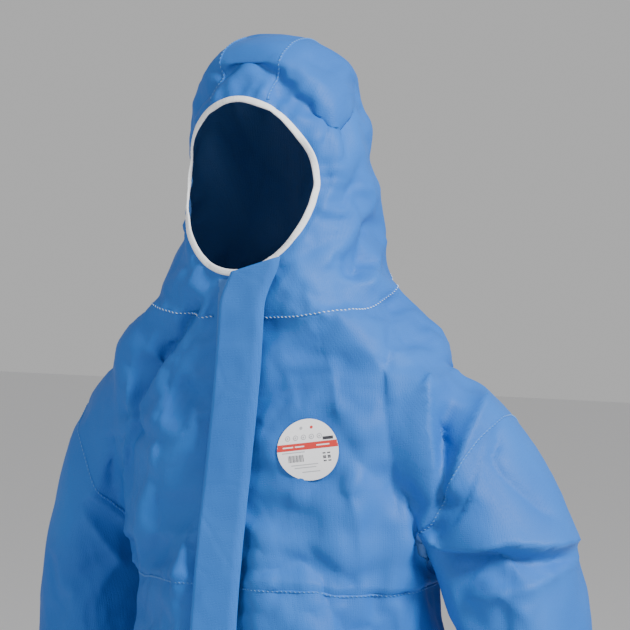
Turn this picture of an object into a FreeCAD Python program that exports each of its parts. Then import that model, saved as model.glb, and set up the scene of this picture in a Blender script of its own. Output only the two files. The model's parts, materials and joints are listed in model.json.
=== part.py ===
"""Hooded chemical protective coverall of spunbond fabric, modelled as if a standing wearer filled it.

The frame's origin is the middle of the neck base, where the suit hangs on the wearer's shoulders.
+Z is up, the wearer faces -Y and the wearer's left is +X. All sizes are in millimetres.
The fabric tubes are lofts through oval sections. Planes cut them at the seams and at the folds.
"""
import FreeCAD
import Part
import os
from math import atan2, copysign, cos, degrees, pi, radians, sin

# Fabric and general clearances
FABRIC = 1.2            # wall of a fabric panel: cloth, seam allowance and lining together
BODY_GAP = 0.6          # between solids of two bodies that move past each other
SEAM_GAP = 0.1          # between two panels sewn edge to edge
LAYER_GAP = 0.3         # between two layers that lie on each other
BEAD_HEIGHT = 1.1       # a seam's thread stands this far off the cloth
BEAD_WIDTH = 3.0
OVAL_POINTS = 24        # points on one oval section
OVAL_POWER = 2.3        # 2 is an ellipse, more is squarer

# Front zip, a straight line from the crotch to the chin
ZIP_TOP_Z = 30.0
ZIP_TOP_Y = -100.8
ZIP_BOTTOM_Z = -695.0
ZIP_BOTTOM_Y = -157.0
CHAIN_WIDTH = 5.6
CHAIN_THICK = 2.4
TAPE_WIDTH = 15.0
TAPE_THICK = 0.9
STOP_LENGTH = 6.0
COIL_GAP = 1.1          # between the two coils, for the slider's divider
DIVIDER = 0.5
SLIDER_LENGTH = 16.0
SLIDER_WIDTH = 11.0
SLIDER_WALL = 1.3
SLIDER_PLAY = 0.3
CROWN_HEIGHT = 3.4      # the bridge on the slider that holds the tab
CROWN_WIDTH = 3.0
TAB_LENGTH = 20.0
TAB_WIDTH = 7.0
TAB_THICK = 1.3
TAB_PIN_R = 0.75
TAB_PLAY = 0.3

# Storm flap over the zip, hinged on its sewn edge at the wearer's right
FLAP_HALF_WIDTH = 29.0
FLAP_RISE = 12.0        # how far the flap bows off the zip
FLAP_STANDOFF = 0.8     # from the zip's plane to the flap's edges
FLAP_ABOVE_ZIP = 6.0
FLAP_BELOW_ZIP = 5.0

# Torso and hood: (height, half width, back)
TORSO = [(-705, 194, 112), (-620, 197, 117), (-520, 192, 119), (-420, 178, 118), (-300, 168, 118),
         (-215, 170, 122), (-135, 180, 122), (-80, 184, 118), (-45, 176, 112), (-15, 156, 105),
         (12, 135, 100), (50, 114, 98)]
# Hood above the chin: (height, half width, front, back)
HOOD = [(90, 103, -112, 99), (140, 96, -118, 103), (190, 92, -114, 104), (235, 80, -95, 94),
        (268, 59, -69, 72), (290, 33, -36, 40)]
NECK_FRONT_Z = -8.0     # height of the neck seam at the zip
NECK_TILT = 13.0        # the neck seam rises towards the nape, in degrees
NECK_FOLD = 40.0        # loose cloth between the neck seam and the hood
WAIST_SEAM_Z = -282.0
SIDE_SEAM_Y = 2.0
CROWN_PANEL_HALF = 34.0

# Face opening
FACE_CENTRE_Z = 128.0
FACE_HALF_WIDTH = 72.0
FACE_HALF_HEIGHT = 88.0
FACE_ELASTIC = 5.0

# Sleeve sections for the left arm: (x, y, z, direction x, y, z, half across, half deep)
SLEEVE = [(112, 4, -98, 1.0, 0.0, -0.25, 68, 82), (180, 9, -106, 0.84, 0.05, -0.54, 78, 88),
          (234, 20, -192, 0.38, 0.1, -0.92, 67, 84), (252, 33, -290, 0.16, 0.08, -0.98, 64, 75),
          (262, 38, -365, 0.1, -0.14, -0.98, 63, 70), (271, 8, -480, 0.06, -0.34, -0.94, 59, 62),
          (274, -32, -590, 0.02, -0.36, -0.93, 50, 51)]
WRIST_INNER_R = 34.0
WRIST_BAND = 18.0
BAND_THICK = 2.0
ARMHOLE = (171.0, -220.0)   # underarm point of the armhole seam, as x and z
ARMHOLE_TILT = 26.5         # the seam's plane leans outwards by this, in degrees
ARM_GAP_LEAN = 5.5          # the space between arm and body leans outwards as it goes down, in degrees
SHOULDER_FOLD = 42.0        # loose cloth past the armhole seam
ELBOW = (262.0, 38.0, -365.0)
ELBOW_FOLD = 110.0

# Leg sections for the left leg: (height, middle x, half width, front, back, roundness)
LEG = [(-705.2, 99, 95, -157, 112, 0.0), (-745, 101, 93, -148, 109, 0.5), (-800, 104, 90, -134, 105, 0.9),
       (-880, 109, 87, -116, 101, 1.0), (-1030, 118, 82, -92, 92, 1.0), (-1230, 126, 76, -76, 84, 1.0),
       (-1370, 131, 66, -60, 76, 1.0)]
ANKLE_INNER_R = 50.0
ANKLE_BAND = 20.0
GATHER = 26.0               # a cuff draws in over this length
LEG_HALF_GAP = 3.0
CROTCH_SEAM_INSET = 12.0
CROTCH_SEAM_HEIGHT = 3.0
HIP_FOLD_END_Z = -850.0
KNEE_Z = -1035.0
KNEE_FOLD = 170.0

# Waist elastic and label
WAIST_ELASTIC_HEIGHT = 12.0
WAIST_ELASTIC_THICK = 1.4
WAIST_ELASTIC_FRONT_GAP = 60.0  # half of the gap in the elastic at the front
LABEL_R = 31.0
LABEL_THICK = 0.5
LABEL_X = 92.0
LABEL_Z = -139.0

BIG = 3000.0
X, Y, Z = FreeCAD.Vector(1, 0, 0), FreeCAD.Vector(0, 1, 0), FreeCAD.Vector(0, 0, 1)
ORIGIN = FreeCAD.Vector(0, 0, 0)
ZIP_TOP = FreeCAD.Vector(0, ZIP_TOP_Y, ZIP_TOP_Z)
ZIP_BOTTOM = FreeCAD.Vector(0, ZIP_BOTTOM_Y, ZIP_BOTTOM_Z)
ZIP_LENGTH = (ZIP_TOP - ZIP_BOTTOM).Length
PLACKET_HALF = CHAIN_WIDTH / 2 + TAPE_WIDTH


def zip_y(z):
    """The zip line's y at a height."""
    share = (z - ZIP_BOTTOM_Z) / (ZIP_TOP_Z - ZIP_BOTTOM_Z)
    return ZIP_BOTTOM_Y + share * (ZIP_TOP_Y - ZIP_BOTTOM_Y)


def oval(z, half_width, front, back, grow=0.0):
    """A level squarish oval round x = 0, grown outwards by grow."""
    middle, half_depth = (front + back) / 2, (back - front) / 2
    points = []
    for n in range(OVAL_POINTS):
        angle = 2 * pi * n / OVAL_POINTS
        x = copysign(abs(cos(angle)) ** (2 / OVAL_POWER), cos(angle)) * (half_width + grow)
        y = copysign(abs(sin(angle)) ** (2 / OVAL_POWER), sin(angle)) * (half_depth + grow)
        points.append(FreeCAD.Vector(x, middle + y, z))
    return ring(points)


def ring(points):
    """A smooth closed wire through points."""
    curve = Part.BSplineCurve()
    curve.interpolate(Points=points, PeriodicFlag=True)
    return Part.Wire(curve.toShape())


def loft(wires):
    return Part.makeLoft(wires, True, False, False)


def half_space(point, normal):
    """A large block on the side of a plane that its normal points to."""
    block = Part.makeBox(BIG, BIG, BIG, FreeCAD.Vector(-BIG / 2, -BIG / 2, 0))
    block.Placement = FreeCAD.Placement(point, FreeCAD.Rotation(Z, normal))
    return block


def slab(point, normal, thick):
    """A large plate centred on a plane."""
    unit = FreeCAD.Vector(normal).normalize()
    plate = Part.makeBox(BIG, BIG, thick, FreeCAD.Vector(-BIG / 2, -BIG / 2, -thick / 2))
    plate.Placement = FreeCAD.Placement(point, FreeCAD.Rotation(Z, unit))
    return plate


def mirrored(shape):
    return shape.mirror(ORIGIN, X)


def save(name, shape):
    """Writes one node, after checking that it is made of sound solids."""
    solids = [s for s in shape.Solids if s.Volume > 1.0]
    whole = solids[0] if len(solids) == 1 else Part.makeCompound(solids)
    if not whole.isValid() or not solids:
        print("CHECK", name, "valid:", whole.isValid(), "solids:", len(solids))
    whole.exportStep("parts/" + name + ".step")
    print(name, len(solids), round(sum(s.Volume for s in solids) / 1000, 2))


def save_pair(name, shape):
    save(name + "_left", shape)
    save(name + "_right", mirrored(shape))


# The suit's envelopes


def trunk(grow):
    """Torso and hood together, from the hips to the crown."""
    wires = [oval(z, w, zip_y(z), b, grow) for z, w, b in TORSO]
    wires += [oval(z, w, f, b, grow) for z, w, f, b in HOOD]
    top = HOOD[-1]
    wires[-1] = oval(top[0] + grow, *top[1:], grow)
    return loft(wires)


def sleeve_section(row, grow):
    x, y, z, dx, dy, dz, across, deep = row
    along = FreeCAD.Vector(dx, dy, dz).normalize()
    side = along.cross(Y).normalize()
    depth = side.cross(along)
    middle = FreeCAD.Vector(x, y, z)
    points = []
    for n in range(OVAL_POINTS):
        angle = 2 * pi * n / OVAL_POINTS
        points.append(middle + side * (cos(angle) * (across + grow)) + depth * (sin(angle) * (deep + grow)))
    return points


def sleeve(grow):
    return loft([ring(sleeve_section(row, grow)) for row in SLEEVE])


def leg_section(row, grow):
    """Half of the trunk's oval at the top of the leg, and an oval of its own lower down."""
    z, middle_x, half_width, front, back, roundness = row
    middle_y, half_depth = (front + back) / 2, (back - front) / 2
    points = []
    for n in range(OVAL_POINTS):
        angle = 2 * pi * n / OVAL_POINTS
        own_x = middle_x + cos(angle) * (half_width + grow)
        own_y = middle_y + sin(angle) * (half_depth + grow)
        reach = middle_x + half_width
        trunk_x = copysign(abs(cos(angle)) ** (2 / OVAL_POWER), cos(angle)) * (reach + grow)
        trunk_y = middle_y + copysign(abs(sin(angle)) ** (2 / OVAL_POWER), sin(angle)) * (half_depth + grow)
        if trunk_x < LEG_HALF_GAP - grow:
            trunk_x = LEG_HALF_GAP - grow
            trunk_y = middle_y + sin(angle) * (half_depth + grow)
        points.append(FreeCAD.Vector(trunk_x + roundness * (own_x - trunk_x),
                                     trunk_y + roundness * (own_y - trunk_y), z))
    return points


def leg(grow):
    return loft([ring(leg_section(row, grow)) for row in LEG])


# The suit's cuts


def above(z):
    return half_space(FreeCAD.Vector(0, 0, z), Z)


def below(z):
    return half_space(FreeCAD.Vector(0, 0, z), -Z)


def neck_plane(offset):
    """A point on the neck seam's plane, moved up by offset, and the plane's normal."""
    normal = FreeCAD.Vector(0, -sin(radians(NECK_TILT)), cos(radians(NECK_TILT)))
    return FreeCAD.Vector(0, zip_y(NECK_FRONT_Z), NECK_FRONT_Z) + normal * offset, normal


def armhole_plane(offset):
    """The left armhole seam's plane, moved out by offset along its normal."""
    normal = FreeCAD.Vector(cos(radians(ARMHOLE_TILT)), 0, -sin(radians(ARMHOLE_TILT)))
    return FreeCAD.Vector(ARMHOLE[0], 0, ARMHOLE[1]) + normal * offset, normal


def elbow_plane(offset):
    normal = FreeCAD.Vector(*SLEEVE[4][3:6]).normalize()
    return FreeCAD.Vector(*ELBOW) + normal * offset, normal


def side_of(plane, sign=1):
    point, normal = plane
    return half_space(point, normal * sign)


def front_band(half_width):
    """A block over the front middle, from the crotch to the chin."""
    return Part.makeBox(2 * half_width, 200, BIG, FreeCAD.Vector(-half_width, -260, -BIG / 2))


def beside(x):
    """Everything to the wearer's left of x."""
    return half_space(FreeCAD.Vector(x, 0, 0), X)


def before(y):
    return half_space(FreeCAD.Vector(0, y, 0), -Y)


def behind(y):
    return half_space(FreeCAD.Vector(0, y, 0), Y)


def upper_suit(grow):
    """Trunk and both sleeves together."""
    arm = sleeve(grow)
    return trunk(grow).fuse([arm, mirrored(arm)])


def arm_zone():
    """Everything past the left armhole seam and outside the space between arm and body."""
    lean = radians(ARM_GAP_LEAN)
    gap = half_space(FreeCAD.Vector(ARMHOLE[0], 0, ARMHOLE[1]), FreeCAD.Vector(cos(lean), 0, sin(lean)))
    return side_of(armhole_plane(0)).common(gap)


# Seams: low ridges of thread that lie on the cloth


def bead(ridge, plane):
    """The part of a ridge layer within a bead's width of a plane."""
    return ridge.common(slab(plane[0], plane[1], BEAD_WIDTH))


# Hood


def face_prism(grow):
    """An upright oval pushed through the front of the hood."""
    high, wide = FACE_HALF_HEIGHT + grow, FACE_HALF_WIDTH + grow
    edge = Part.Ellipse(ORIGIN, high, wide).toShape()
    prism = Part.Face(Part.Wire(edge)).extrude(FreeCAD.Vector(0, 0, 200))
    prism.rotate(ORIGIN, Z, 90)
    prism.rotate(ORIGIN, X, 90)
    prism.translate(FreeCAD.Vector(0, 0, FACE_CENTRE_Z))
    return prism


def make_hood(shell, ridge):
    """The hood's three panels, the two seams between them and the elastic round the face."""
    rim = face_prism(0)
    part = shell.common(side_of(neck_plane(NECK_FOLD + BODY_GAP))).cut(rim)
    crown_zone = Part.makeBox(2 * CROWN_PANEL_HALF, BIG, BIG, FreeCAD.Vector(-CROWN_PANEL_HALF, -BIG, FACE_CENTRE_Z))
    crown_zone = crown_zone.fuse(Part.makeBox(2 * CROWN_PANEL_HALF, BIG, BIG,
                                              FreeCAD.Vector(-CROWN_PANEL_HALF, 0, -BIG / 2)))
    save("hood_center_panel", part.common(crown_zone))
    save_pair("hood_side_panel", part.cut(crown_zone).common(beside(SEAM_GAP / 2)))
    seam = bead(ridge.common(side_of(neck_plane(NECK_FOLD + BODY_GAP))).cut(face_prism(1)),
                (FreeCAD.Vector(CROWN_PANEL_HALF, 0, 0), X))
    save_pair("hood_seam", seam.cut(before(0).common(below(FACE_CENTRE_Z))))
    layer = trunk(1.0).cut(trunk(-FABRIC - 1.0))
    save("face_elastic", layer.common(face_prism(-SEAM_GAP)).cut(face_prism(-FACE_ELASTIC)).common(before(0)))


def make_neck(shell):
    """The loose cloth of the lower hood, between the neck seam and the head."""
    collar = shell.common(side_of(neck_plane(SEAM_GAP))).cut(side_of(neck_plane(NECK_FOLD)))
    save("neck_fold", collar.cut(front_band(PLACKET_HALF + SEAM_GAP)))


# Upper body


def make_bodice(body, ridge):
    """Chest and back panels with the seams at the neck, the armholes and the waist."""
    part = body.cut(side_of(neck_plane(0))).common(above(WAIST_SEAM_Z))
    front = part.common(before(SIDE_SEAM_Y - SEAM_GAP))
    save_pair("chest_panel", front.common(beside(PLACKET_HALF + SEAM_GAP)))
    save("back_panel", part.common(behind(SIDE_SEAM_Y)))
    band = front_band(FLAP_HALF_WIDTH + 1)
    save("neck_seam", bead(ridge, neck_plane(-BEAD_WIDTH / 2)).cut(band))
    arm = arm_zone()
    waist = bead(ridge, (FreeCAD.Vector(0, 0, WAIST_SEAM_Z), Z)).cut(band)
    save("waist_seam", waist.cut(arm).cut(mirrored(arm)))
    armhole = bead(ridge, armhole_plane(-BEAD_WIDTH / 2))
    save_pair("armhole_seam", armhole.common(beside(0)).common(above(ARMHOLE[1])))


def make_waist_elastic():
    """A band inside the waist that stops short of the front opening."""
    gap = FABRIC + 3 * LAYER_GAP
    layer = trunk(-gap).cut(trunk(-gap - WAIST_ELASTIC_THICK))
    level = slab(FreeCAD.Vector(0, 0, WAIST_SEAM_Z), Z, WAIST_ELASTIC_HEIGHT)
    save("waist_elastic", layer.common(level).cut(front_band(WAIST_ELASTIC_FRONT_GAP)))


# Sleeves


def cuff_wires(points, centre, along, side, radius, grow):
    """The last oval of a tube, then the round ring it gathers into."""
    across = along.cross(side)
    ring_points = []
    for n in range(OVAL_POINTS):
        angle = 2 * pi * n / OVAL_POINTS
        ring_points.append(centre + side * (cos(angle) * (radius + grow)) + across * (sin(angle) * (radius + grow)))
    return [ring(points), ring(ring_points)]


def tube_band(centre, along, radius, length):
    """An elastic band round a cuff: a short round tube."""
    outer = Part.makeCylinder(radius + BAND_THICK, length, centre, along)
    return outer.cut(Part.makeCylinder(radius, length, centre, along))


def make_sleeve(outside):
    """Folds, upper sleeve, lower sleeve and wrist elastic of the left arm, each with its mirror image."""
    fold_end = armhole_plane(SHOULDER_FOLD)
    save_pair("shoulder_fold", outside.common(side_of(armhole_plane(SEAM_GAP))).cut(side_of(fold_end)))
    upper = outside.common(side_of(armhole_plane(SHOULDER_FOLD + BODY_GAP)))
    save_pair("upper_sleeve", upper.cut(side_of(elbow_plane(-ELBOW_FOLD / 2))))
    elbow = upper.common(side_of(elbow_plane(-ELBOW_FOLD / 2 + BODY_GAP)))
    save_pair("elbow_fold", elbow.cut(side_of(elbow_plane(ELBOW_FOLD / 2))))
    lower = upper.common(side_of(elbow_plane(ELBOW_FOLD / 2 + BODY_GAP)))
    row = SLEEVE[-1]
    along = FreeCAD.Vector(*row[3:6]).normalize()
    side = along.cross(Y).normalize()
    centre = FreeCAD.Vector(*row[:3]) + along * GATHER
    gather = loft_cuff(sleeve_section, row, centre, along, side, WRIST_INNER_R)
    save_pair("lower_sleeve", lower.fuse(gather))
    save_pair("wrist_elastic", tube_band(centre + along * SEAM_GAP, along, WRIST_INNER_R, WRIST_BAND))
    print("wrist", centre + along * WRIST_BAND, along)


def loft_cuff(section, row, centre, along, side, radius):
    """The shell that narrows from a tube's last oval to its elastic."""
    outer = loft(cuff_wires(section(row, 0), centre, along, side, radius + BAND_THICK, 0))
    inner = loft(cuff_wires(section(row, -FABRIC), centre, along, side, radius + BAND_THICK, -FABRIC))
    return outer.cut(inner)


# Trousers


def make_trousers(body):
    """Front and seat panels down to the top of the legs, and the seam between the legs."""
    part = body.common(below(WAIST_SEAM_Z - SEAM_GAP))
    front = part.common(before(SIDE_SEAM_Y - SEAM_GAP))
    save_pair("trouser_front", front.common(beside(PLACKET_HALF + SEAM_GAP)))
    save_pair("trouser_seat", part.common(behind(SIDE_SEAM_Y)).common(beside(SEAM_GAP / 2)))
    leg_top = LEG[0]
    length = leg_top[4] - leg_top[3] - 2 * CROTCH_SEAM_INSET
    strip = Part.makeBox(2 * LEG_HALF_GAP - 2 * SEAM_GAP, length, CROTCH_SEAM_HEIGHT,
                         FreeCAD.Vector(-LEG_HALF_GAP + SEAM_GAP, leg_top[3] + CROTCH_SEAM_INSET,
                                        TORSO[0][0] - CROTCH_SEAM_HEIGHT / 2))
    save("crotch_seam", strip)


def make_leg():
    """Folds, thigh, shin and ankle elastic of the left leg, each with its mirror image."""
    shell = leg(0).cut(leg(-FABRIC))
    save_pair("hip_fold", shell.common(above(HIP_FOLD_END_Z)))
    thigh = shell.common(below(HIP_FOLD_END_Z - BODY_GAP))
    knee_top, knee_bottom = KNEE_Z + KNEE_FOLD / 2, KNEE_Z - KNEE_FOLD / 2
    save_pair("thigh", thigh.common(above(knee_top + BODY_GAP)))
    save_pair("knee_fold", thigh.common(below(knee_top)).common(above(knee_bottom)))
    row = LEG[-1]
    centre = FreeCAD.Vector(row[1], (row[3] + row[4]) / 2, row[0] - GATHER)
    gather = loft_cuff(leg_section, row, centre, -Z, X, ANKLE_INNER_R)
    save_pair("shin", thigh.common(below(knee_bottom - BODY_GAP)).fuse(gather))
    save_pair("ankle_elastic", tube_band(centre - Z * SEAM_GAP, -Z, ANKLE_INNER_R, ANKLE_BAND))
    print("ankle", centre - Z * ANKLE_BAND)


# Front zip. Its pieces are drawn upright, with the cloth's outer face at y = 0, and then leaned.


def on_zip(shape, height=0.0):
    """Moves a piece drawn upright to a height along the zip."""
    direction = (ZIP_TOP - ZIP_BOTTOM).normalize()
    placed = shape.copy()
    placed.Placement = FreeCAD.Placement(ZIP_BOTTOM + direction * height, FreeCAD.Rotation(Z, direction))
    return placed


def bar(x0, x1, y0, y1, z0, z1):
    return Part.makeBox(x1 - x0, y1 - y0, z1 - z0, FreeCAD.Vector(x0, y0, z0))


def make_zip():
    """Tapes, coils and stops."""
    half, mid = CHAIN_WIDTH / 2, FABRIC / 2
    coil = bar(COIL_GAP / 2, half, mid - CHAIN_THICK / 2, mid + CHAIN_THICK / 2, STOP_LENGTH, ZIP_LENGTH - STOP_LENGTH)
    long_edges = [e for e in coil.Edges if e.Length > STOP_LENGTH * 4]
    save_pair("zip_coil", on_zip(coil.makeFillet(0.5, long_edges)))
    tape = bar(half, PLACKET_HALF, mid - TAPE_THICK / 2, mid + TAPE_THICK / 2, 0, ZIP_LENGTH)
    save_pair("zip_tape", on_zip(tape))
    stop = bar(COIL_GAP / 2, half, mid - CHAIN_THICK / 2, mid + CHAIN_THICK / 2, ZIP_LENGTH - STOP_LENGTH, ZIP_LENGTH)
    save_pair("zip_top_stop", on_zip(stop))
    save("zip_bottom_stop", on_zip(bar(-half, half, mid - CHAIN_THICK / 2, mid + CHAIN_THICK / 2, 0, STOP_LENGTH)))


def slider_rest():
    """The slider's middle along the zip when the suit is closed."""
    return ZIP_LENGTH - STOP_LENGTH - SLIDER_LENGTH / 2 - BODY_GAP


def crown_y():
    """Depth of the bridge's hole, in front of the slider's face."""
    face = FABRIC / 2 - CHAIN_THICK / 2 - SLIDER_PLAY - SLIDER_WALL
    return face - CROWN_HEIGHT / 2


def make_slider():
    """Two plates joined by a divider, with side lips round the tapes and a bridge for the tab."""
    mid = FABRIC / 2
    half, end = SLIDER_WIDTH / 2, SLIDER_LENGTH / 2
    room_x, room_y = CHAIN_WIDTH / 2 + SLIDER_PLAY, CHAIN_THICK / 2 + SLIDER_PLAY
    deep = room_y + SLIDER_WALL
    block = bar(-half, half, mid - deep, mid + deep, -end, end)
    upright = [e for e in block.Edges if abs(e.Length - 2 * deep) < 0.01]
    block = block.makeFillet(2.5, upright)
    block = block.cut(bar(-room_x, room_x, mid - room_y, mid + room_y, -end, end))
    slot = TAPE_THICK / 2 + SLIDER_PLAY
    block = block.cut(bar(-half, half, mid - slot, mid + slot, -end, end))
    block = block.fuse(bar(-DIVIDER / 2, DIVIDER / 2, mid - room_y, mid + room_y, end - 7, end - 1))
    face = mid - deep
    bridge = bar(-CROWN_WIDTH / 2, CROWN_WIDTH / 2, face - CROWN_HEIGHT, face, -4, 4)
    long_edges = [e for e in bridge.Edges if abs(e.Length - CROWN_WIDTH) < 0.01 and e.BoundBox.YMax < face - 1]
    bridge = bridge.makeFillet(1.5, long_edges)
    hole = Part.makeCylinder(TAB_PIN_R + TAB_PLAY, CROWN_WIDTH, FreeCAD.Vector(-CROWN_WIDTH / 2, crown_y(), 0), X)
    save("zip_slider", on_zip(block.fuse(bridge).cut(hole), slider_rest()))


def make_pull_tab():
    """A flat tab with a window at its top, whose bar passes through the slider's bridge."""
    y = crown_y()
    plate = bar(-TAB_WIDTH / 2, TAB_WIDTH / 2, y - TAB_THICK / 2, y + TAB_THICK / 2, -TAB_LENGTH, 1)
    ends = [e for e in plate.Edges if abs(e.Length - TAB_THICK) < 0.01 and e.BoundBox.ZMax < 0]
    plate = plate.makeFillet(2.4, ends)
    window = bar(-CROWN_WIDTH / 2 - TAB_PLAY, CROWN_WIDTH / 2 + TAB_PLAY, y - 3, y + 3, -6, 2)
    pin = Part.makeCylinder(TAB_PIN_R, TAB_WIDTH, FreeCAD.Vector(-TAB_WIDTH / 2, y, 0), X)
    save("zip_pull_tab", on_zip(plate.cut(window).fuse(pin), slider_rest()))


def make_flap():
    """The storm flap: a long bowed strip over the zip."""
    half, foot = FLAP_HALF_WIDTH, -FLAP_STANDOFF
    outer = Part.Arc(FreeCAD.Vector(-half, foot, 0), FreeCAD.Vector(0, foot - FLAP_RISE, 0), FreeCAD.Vector(half, foot, 0))
    inner_half, inner_top = half - FABRIC, foot - FLAP_RISE + FABRIC
    inner = Part.Arc(FreeCAD.Vector(-inner_half, foot, 0), FreeCAD.Vector(0, inner_top, 0),
                     FreeCAD.Vector(inner_half, foot, 0))
    ends = [Part.makeLine(FreeCAD.Vector(s * half, foot, 0), FreeCAD.Vector(s * inner_half, foot, 0)) for s in (-1, 1)]
    face = Part.Face(Part.Wire([outer.toShape(), ends[1], inner.toShape(), ends[0]]))
    strip = face.extrude(FreeCAD.Vector(0, 0, FLAP_BELOW_ZIP + ZIP_LENGTH + FLAP_ABOVE_ZIP))
    save("storm_flap", on_zip(strip, -FLAP_BELOW_ZIP))


# Label


def make_label():
    """A round printed sticker that follows the chest."""
    layer = trunk(LABEL_THICK + LAYER_GAP).cut(trunk(LAYER_GAP))
    disc = Part.makeCylinder(LABEL_R, 200, FreeCAD.Vector(LABEL_X, -200, LABEL_Z), Y)
    save("label", layer.common(disc).common(before(0)))


def main():
    os.makedirs("parts", exist_ok=True)
    outer, inner = upper_suit(0), upper_suit(-FABRIC)
    shell = outer.cut(inner)
    ridge = upper_suit(BEAD_HEIGHT).cut(upper_suit(LAYER_GAP))
    arm = arm_zone()
    body = shell.cut(arm).cut(mirrored(arm))
    make_hood(body, ridge)
    make_neck(body)
    make_bodice(body, ridge)
    make_waist_elastic()
    make_sleeve(shell.common(arm))
    make_trousers(body)
    make_leg()
    make_zip()
    make_slider()
    make_pull_tab()
    make_flap()
    make_label()


if __name__ == "__main__":
    main()
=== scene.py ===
"""Blender scene of a hooded protective coverall, worn shape, in the row frame of its CAD model.

The cloth is one mesh that a cloth simulation settles on a hidden body. It is then cut into its panels.
Lengths are in metres. +Z is up, the wearer faces -Y and the wearer's left is +X.
"""
import json
import logging
import math
from dataclasses import dataclass, field
from enum import Enum

import bmesh
import bpy
import numpy as np
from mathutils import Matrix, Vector, noise
from mathutils.bvhtree import BVHTree

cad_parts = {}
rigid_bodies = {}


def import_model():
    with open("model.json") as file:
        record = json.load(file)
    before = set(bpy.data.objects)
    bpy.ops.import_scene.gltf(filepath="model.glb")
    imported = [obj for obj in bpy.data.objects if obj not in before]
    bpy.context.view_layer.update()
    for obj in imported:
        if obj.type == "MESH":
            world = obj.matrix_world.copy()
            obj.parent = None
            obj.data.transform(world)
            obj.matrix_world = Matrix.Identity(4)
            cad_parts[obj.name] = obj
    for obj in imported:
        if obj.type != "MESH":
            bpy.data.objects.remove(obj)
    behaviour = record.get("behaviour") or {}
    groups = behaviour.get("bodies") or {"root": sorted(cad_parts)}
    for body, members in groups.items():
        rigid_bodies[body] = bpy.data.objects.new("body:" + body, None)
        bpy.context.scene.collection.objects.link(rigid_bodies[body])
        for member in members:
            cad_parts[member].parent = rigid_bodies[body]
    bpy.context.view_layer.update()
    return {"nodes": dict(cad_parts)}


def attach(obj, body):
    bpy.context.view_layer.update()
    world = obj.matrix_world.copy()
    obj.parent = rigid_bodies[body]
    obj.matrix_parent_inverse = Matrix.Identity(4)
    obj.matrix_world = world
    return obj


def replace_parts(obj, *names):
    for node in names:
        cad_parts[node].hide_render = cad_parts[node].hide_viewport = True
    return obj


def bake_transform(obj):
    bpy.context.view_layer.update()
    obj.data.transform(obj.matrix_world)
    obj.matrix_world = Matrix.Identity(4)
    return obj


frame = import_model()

log = logging.getLogger("coverall")
SIDES = {"left": 1.0, "right": -1.0}


# Small helpers


def mesh_object(name: str, verts: np.ndarray, faces: list) -> bpy.types.Object:
    """Makes a mesh object from points and faces.

    Args:
        name: the object's name.
        verts: points, one row each.
        faces: index tuples.

    Returns:
        The new object, linked to the scene.
    """
    mesh = bpy.data.meshes.new(name)
    mesh.from_pydata([tuple(map(float, v)) for v in verts], [], [tuple(map(int, f)) for f in faces])
    mesh.update()
    obj = bpy.data.objects.new(name, mesh)
    bpy.context.scene.collection.objects.link(obj)
    return obj


def coordinates(mesh: bpy.types.Mesh) -> np.ndarray:
    """Returns a mesh's points as rows."""
    flat = np.empty(len(mesh.vertices) * 3, dtype=np.float32)
    mesh.vertices.foreach_get("co", flat)
    return flat.reshape(-1, 3).astype(float)


def set_coordinates(mesh: bpy.types.Mesh, points: np.ndarray) -> None:
    """Writes a mesh's points."""
    mesh.vertices.foreach_set("co", points.astype(np.float32).ravel())
    mesh.update()


def vertex_normals(mesh: bpy.types.Mesh) -> np.ndarray:
    """Returns a mesh's point normals as rows."""
    normals = np.empty(len(mesh.vertices) * 3, dtype=np.float32)
    mesh.vertices.foreach_get("normal", normals)
    return normals.reshape(-1, 3)


def store_flat(mesh: bpy.types.Mesh, points: np.ndarray) -> None:
    """Keeps the unworn places of a mesh's points as its attribute "flat"."""
    store = mesh.attributes.new("flat", "FLOAT_VECTOR", "POINT")
    store.data.foreach_set("vector", points.astype(np.float32).ravel())


def read_flat(mesh: bpy.types.Mesh) -> np.ndarray:
    """Returns the unworn places of a mesh's points as rows."""
    flat = np.empty(len(mesh.vertices) * 3, dtype=np.float32)
    mesh.attributes["flat"].data.foreach_get("vector", flat)
    return flat.reshape(-1, 3).astype(float)


def grid_faces(rows: int, columns: int, round_rows: bool = False, round_columns: bool = False) -> list:
    """Returns the quads between points that are numbered row by row.

    Args:
        rows: how many rows of points.
        columns: how many points in a row.
        round_rows: True where the last row joins the first.
        round_columns: True where each row is a ring.

    Returns:
        Index tuples.
    """
    last_row = rows if round_rows else rows - 1
    last_column = columns if round_columns else columns - 1
    return [(i * columns + j, i * columns + (j + 1) % columns,
             (i + 1) % rows * columns + (j + 1) % columns, (i + 1) % rows * columns + j)
            for i in range(last_row) for j in range(last_column)]


def smooth_step(low: float, high: float, value: np.ndarray) -> np.ndarray:
    """Returns 0 below low, 1 above high and a smooth ramp between."""
    t = np.clip((value - low) / (high - low), 0.0, 1.0)
    return t * t * (3.0 - 2.0 * t)


def spline_rows(rows: np.ndarray, count: int) -> np.ndarray:
    """Fills in rows of numbers with a Catmull-Rom spline.

    Args:
        rows: the rows it passes through.
        count: how many rows to return.

    Returns:
        Rows at even steps.
    """
    padded = np.vstack([2 * rows[0] - rows[1], rows, 2 * rows[-1] - rows[-2]])
    out = []
    for s in np.linspace(0, len(rows) - 1, count):
        i = min(int(s), len(rows) - 2)
        t = s - i
        a, b, c, d = padded[i:i + 4]
        bend, twist = 2 * a - 5 * b + 4 * c - d, 3 * b - a - 3 * c + d
        out.append(0.5 * (2 * b + (c - a) * t + bend * t ** 2 + twist * t ** 3))
    return np.array(out)


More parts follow.
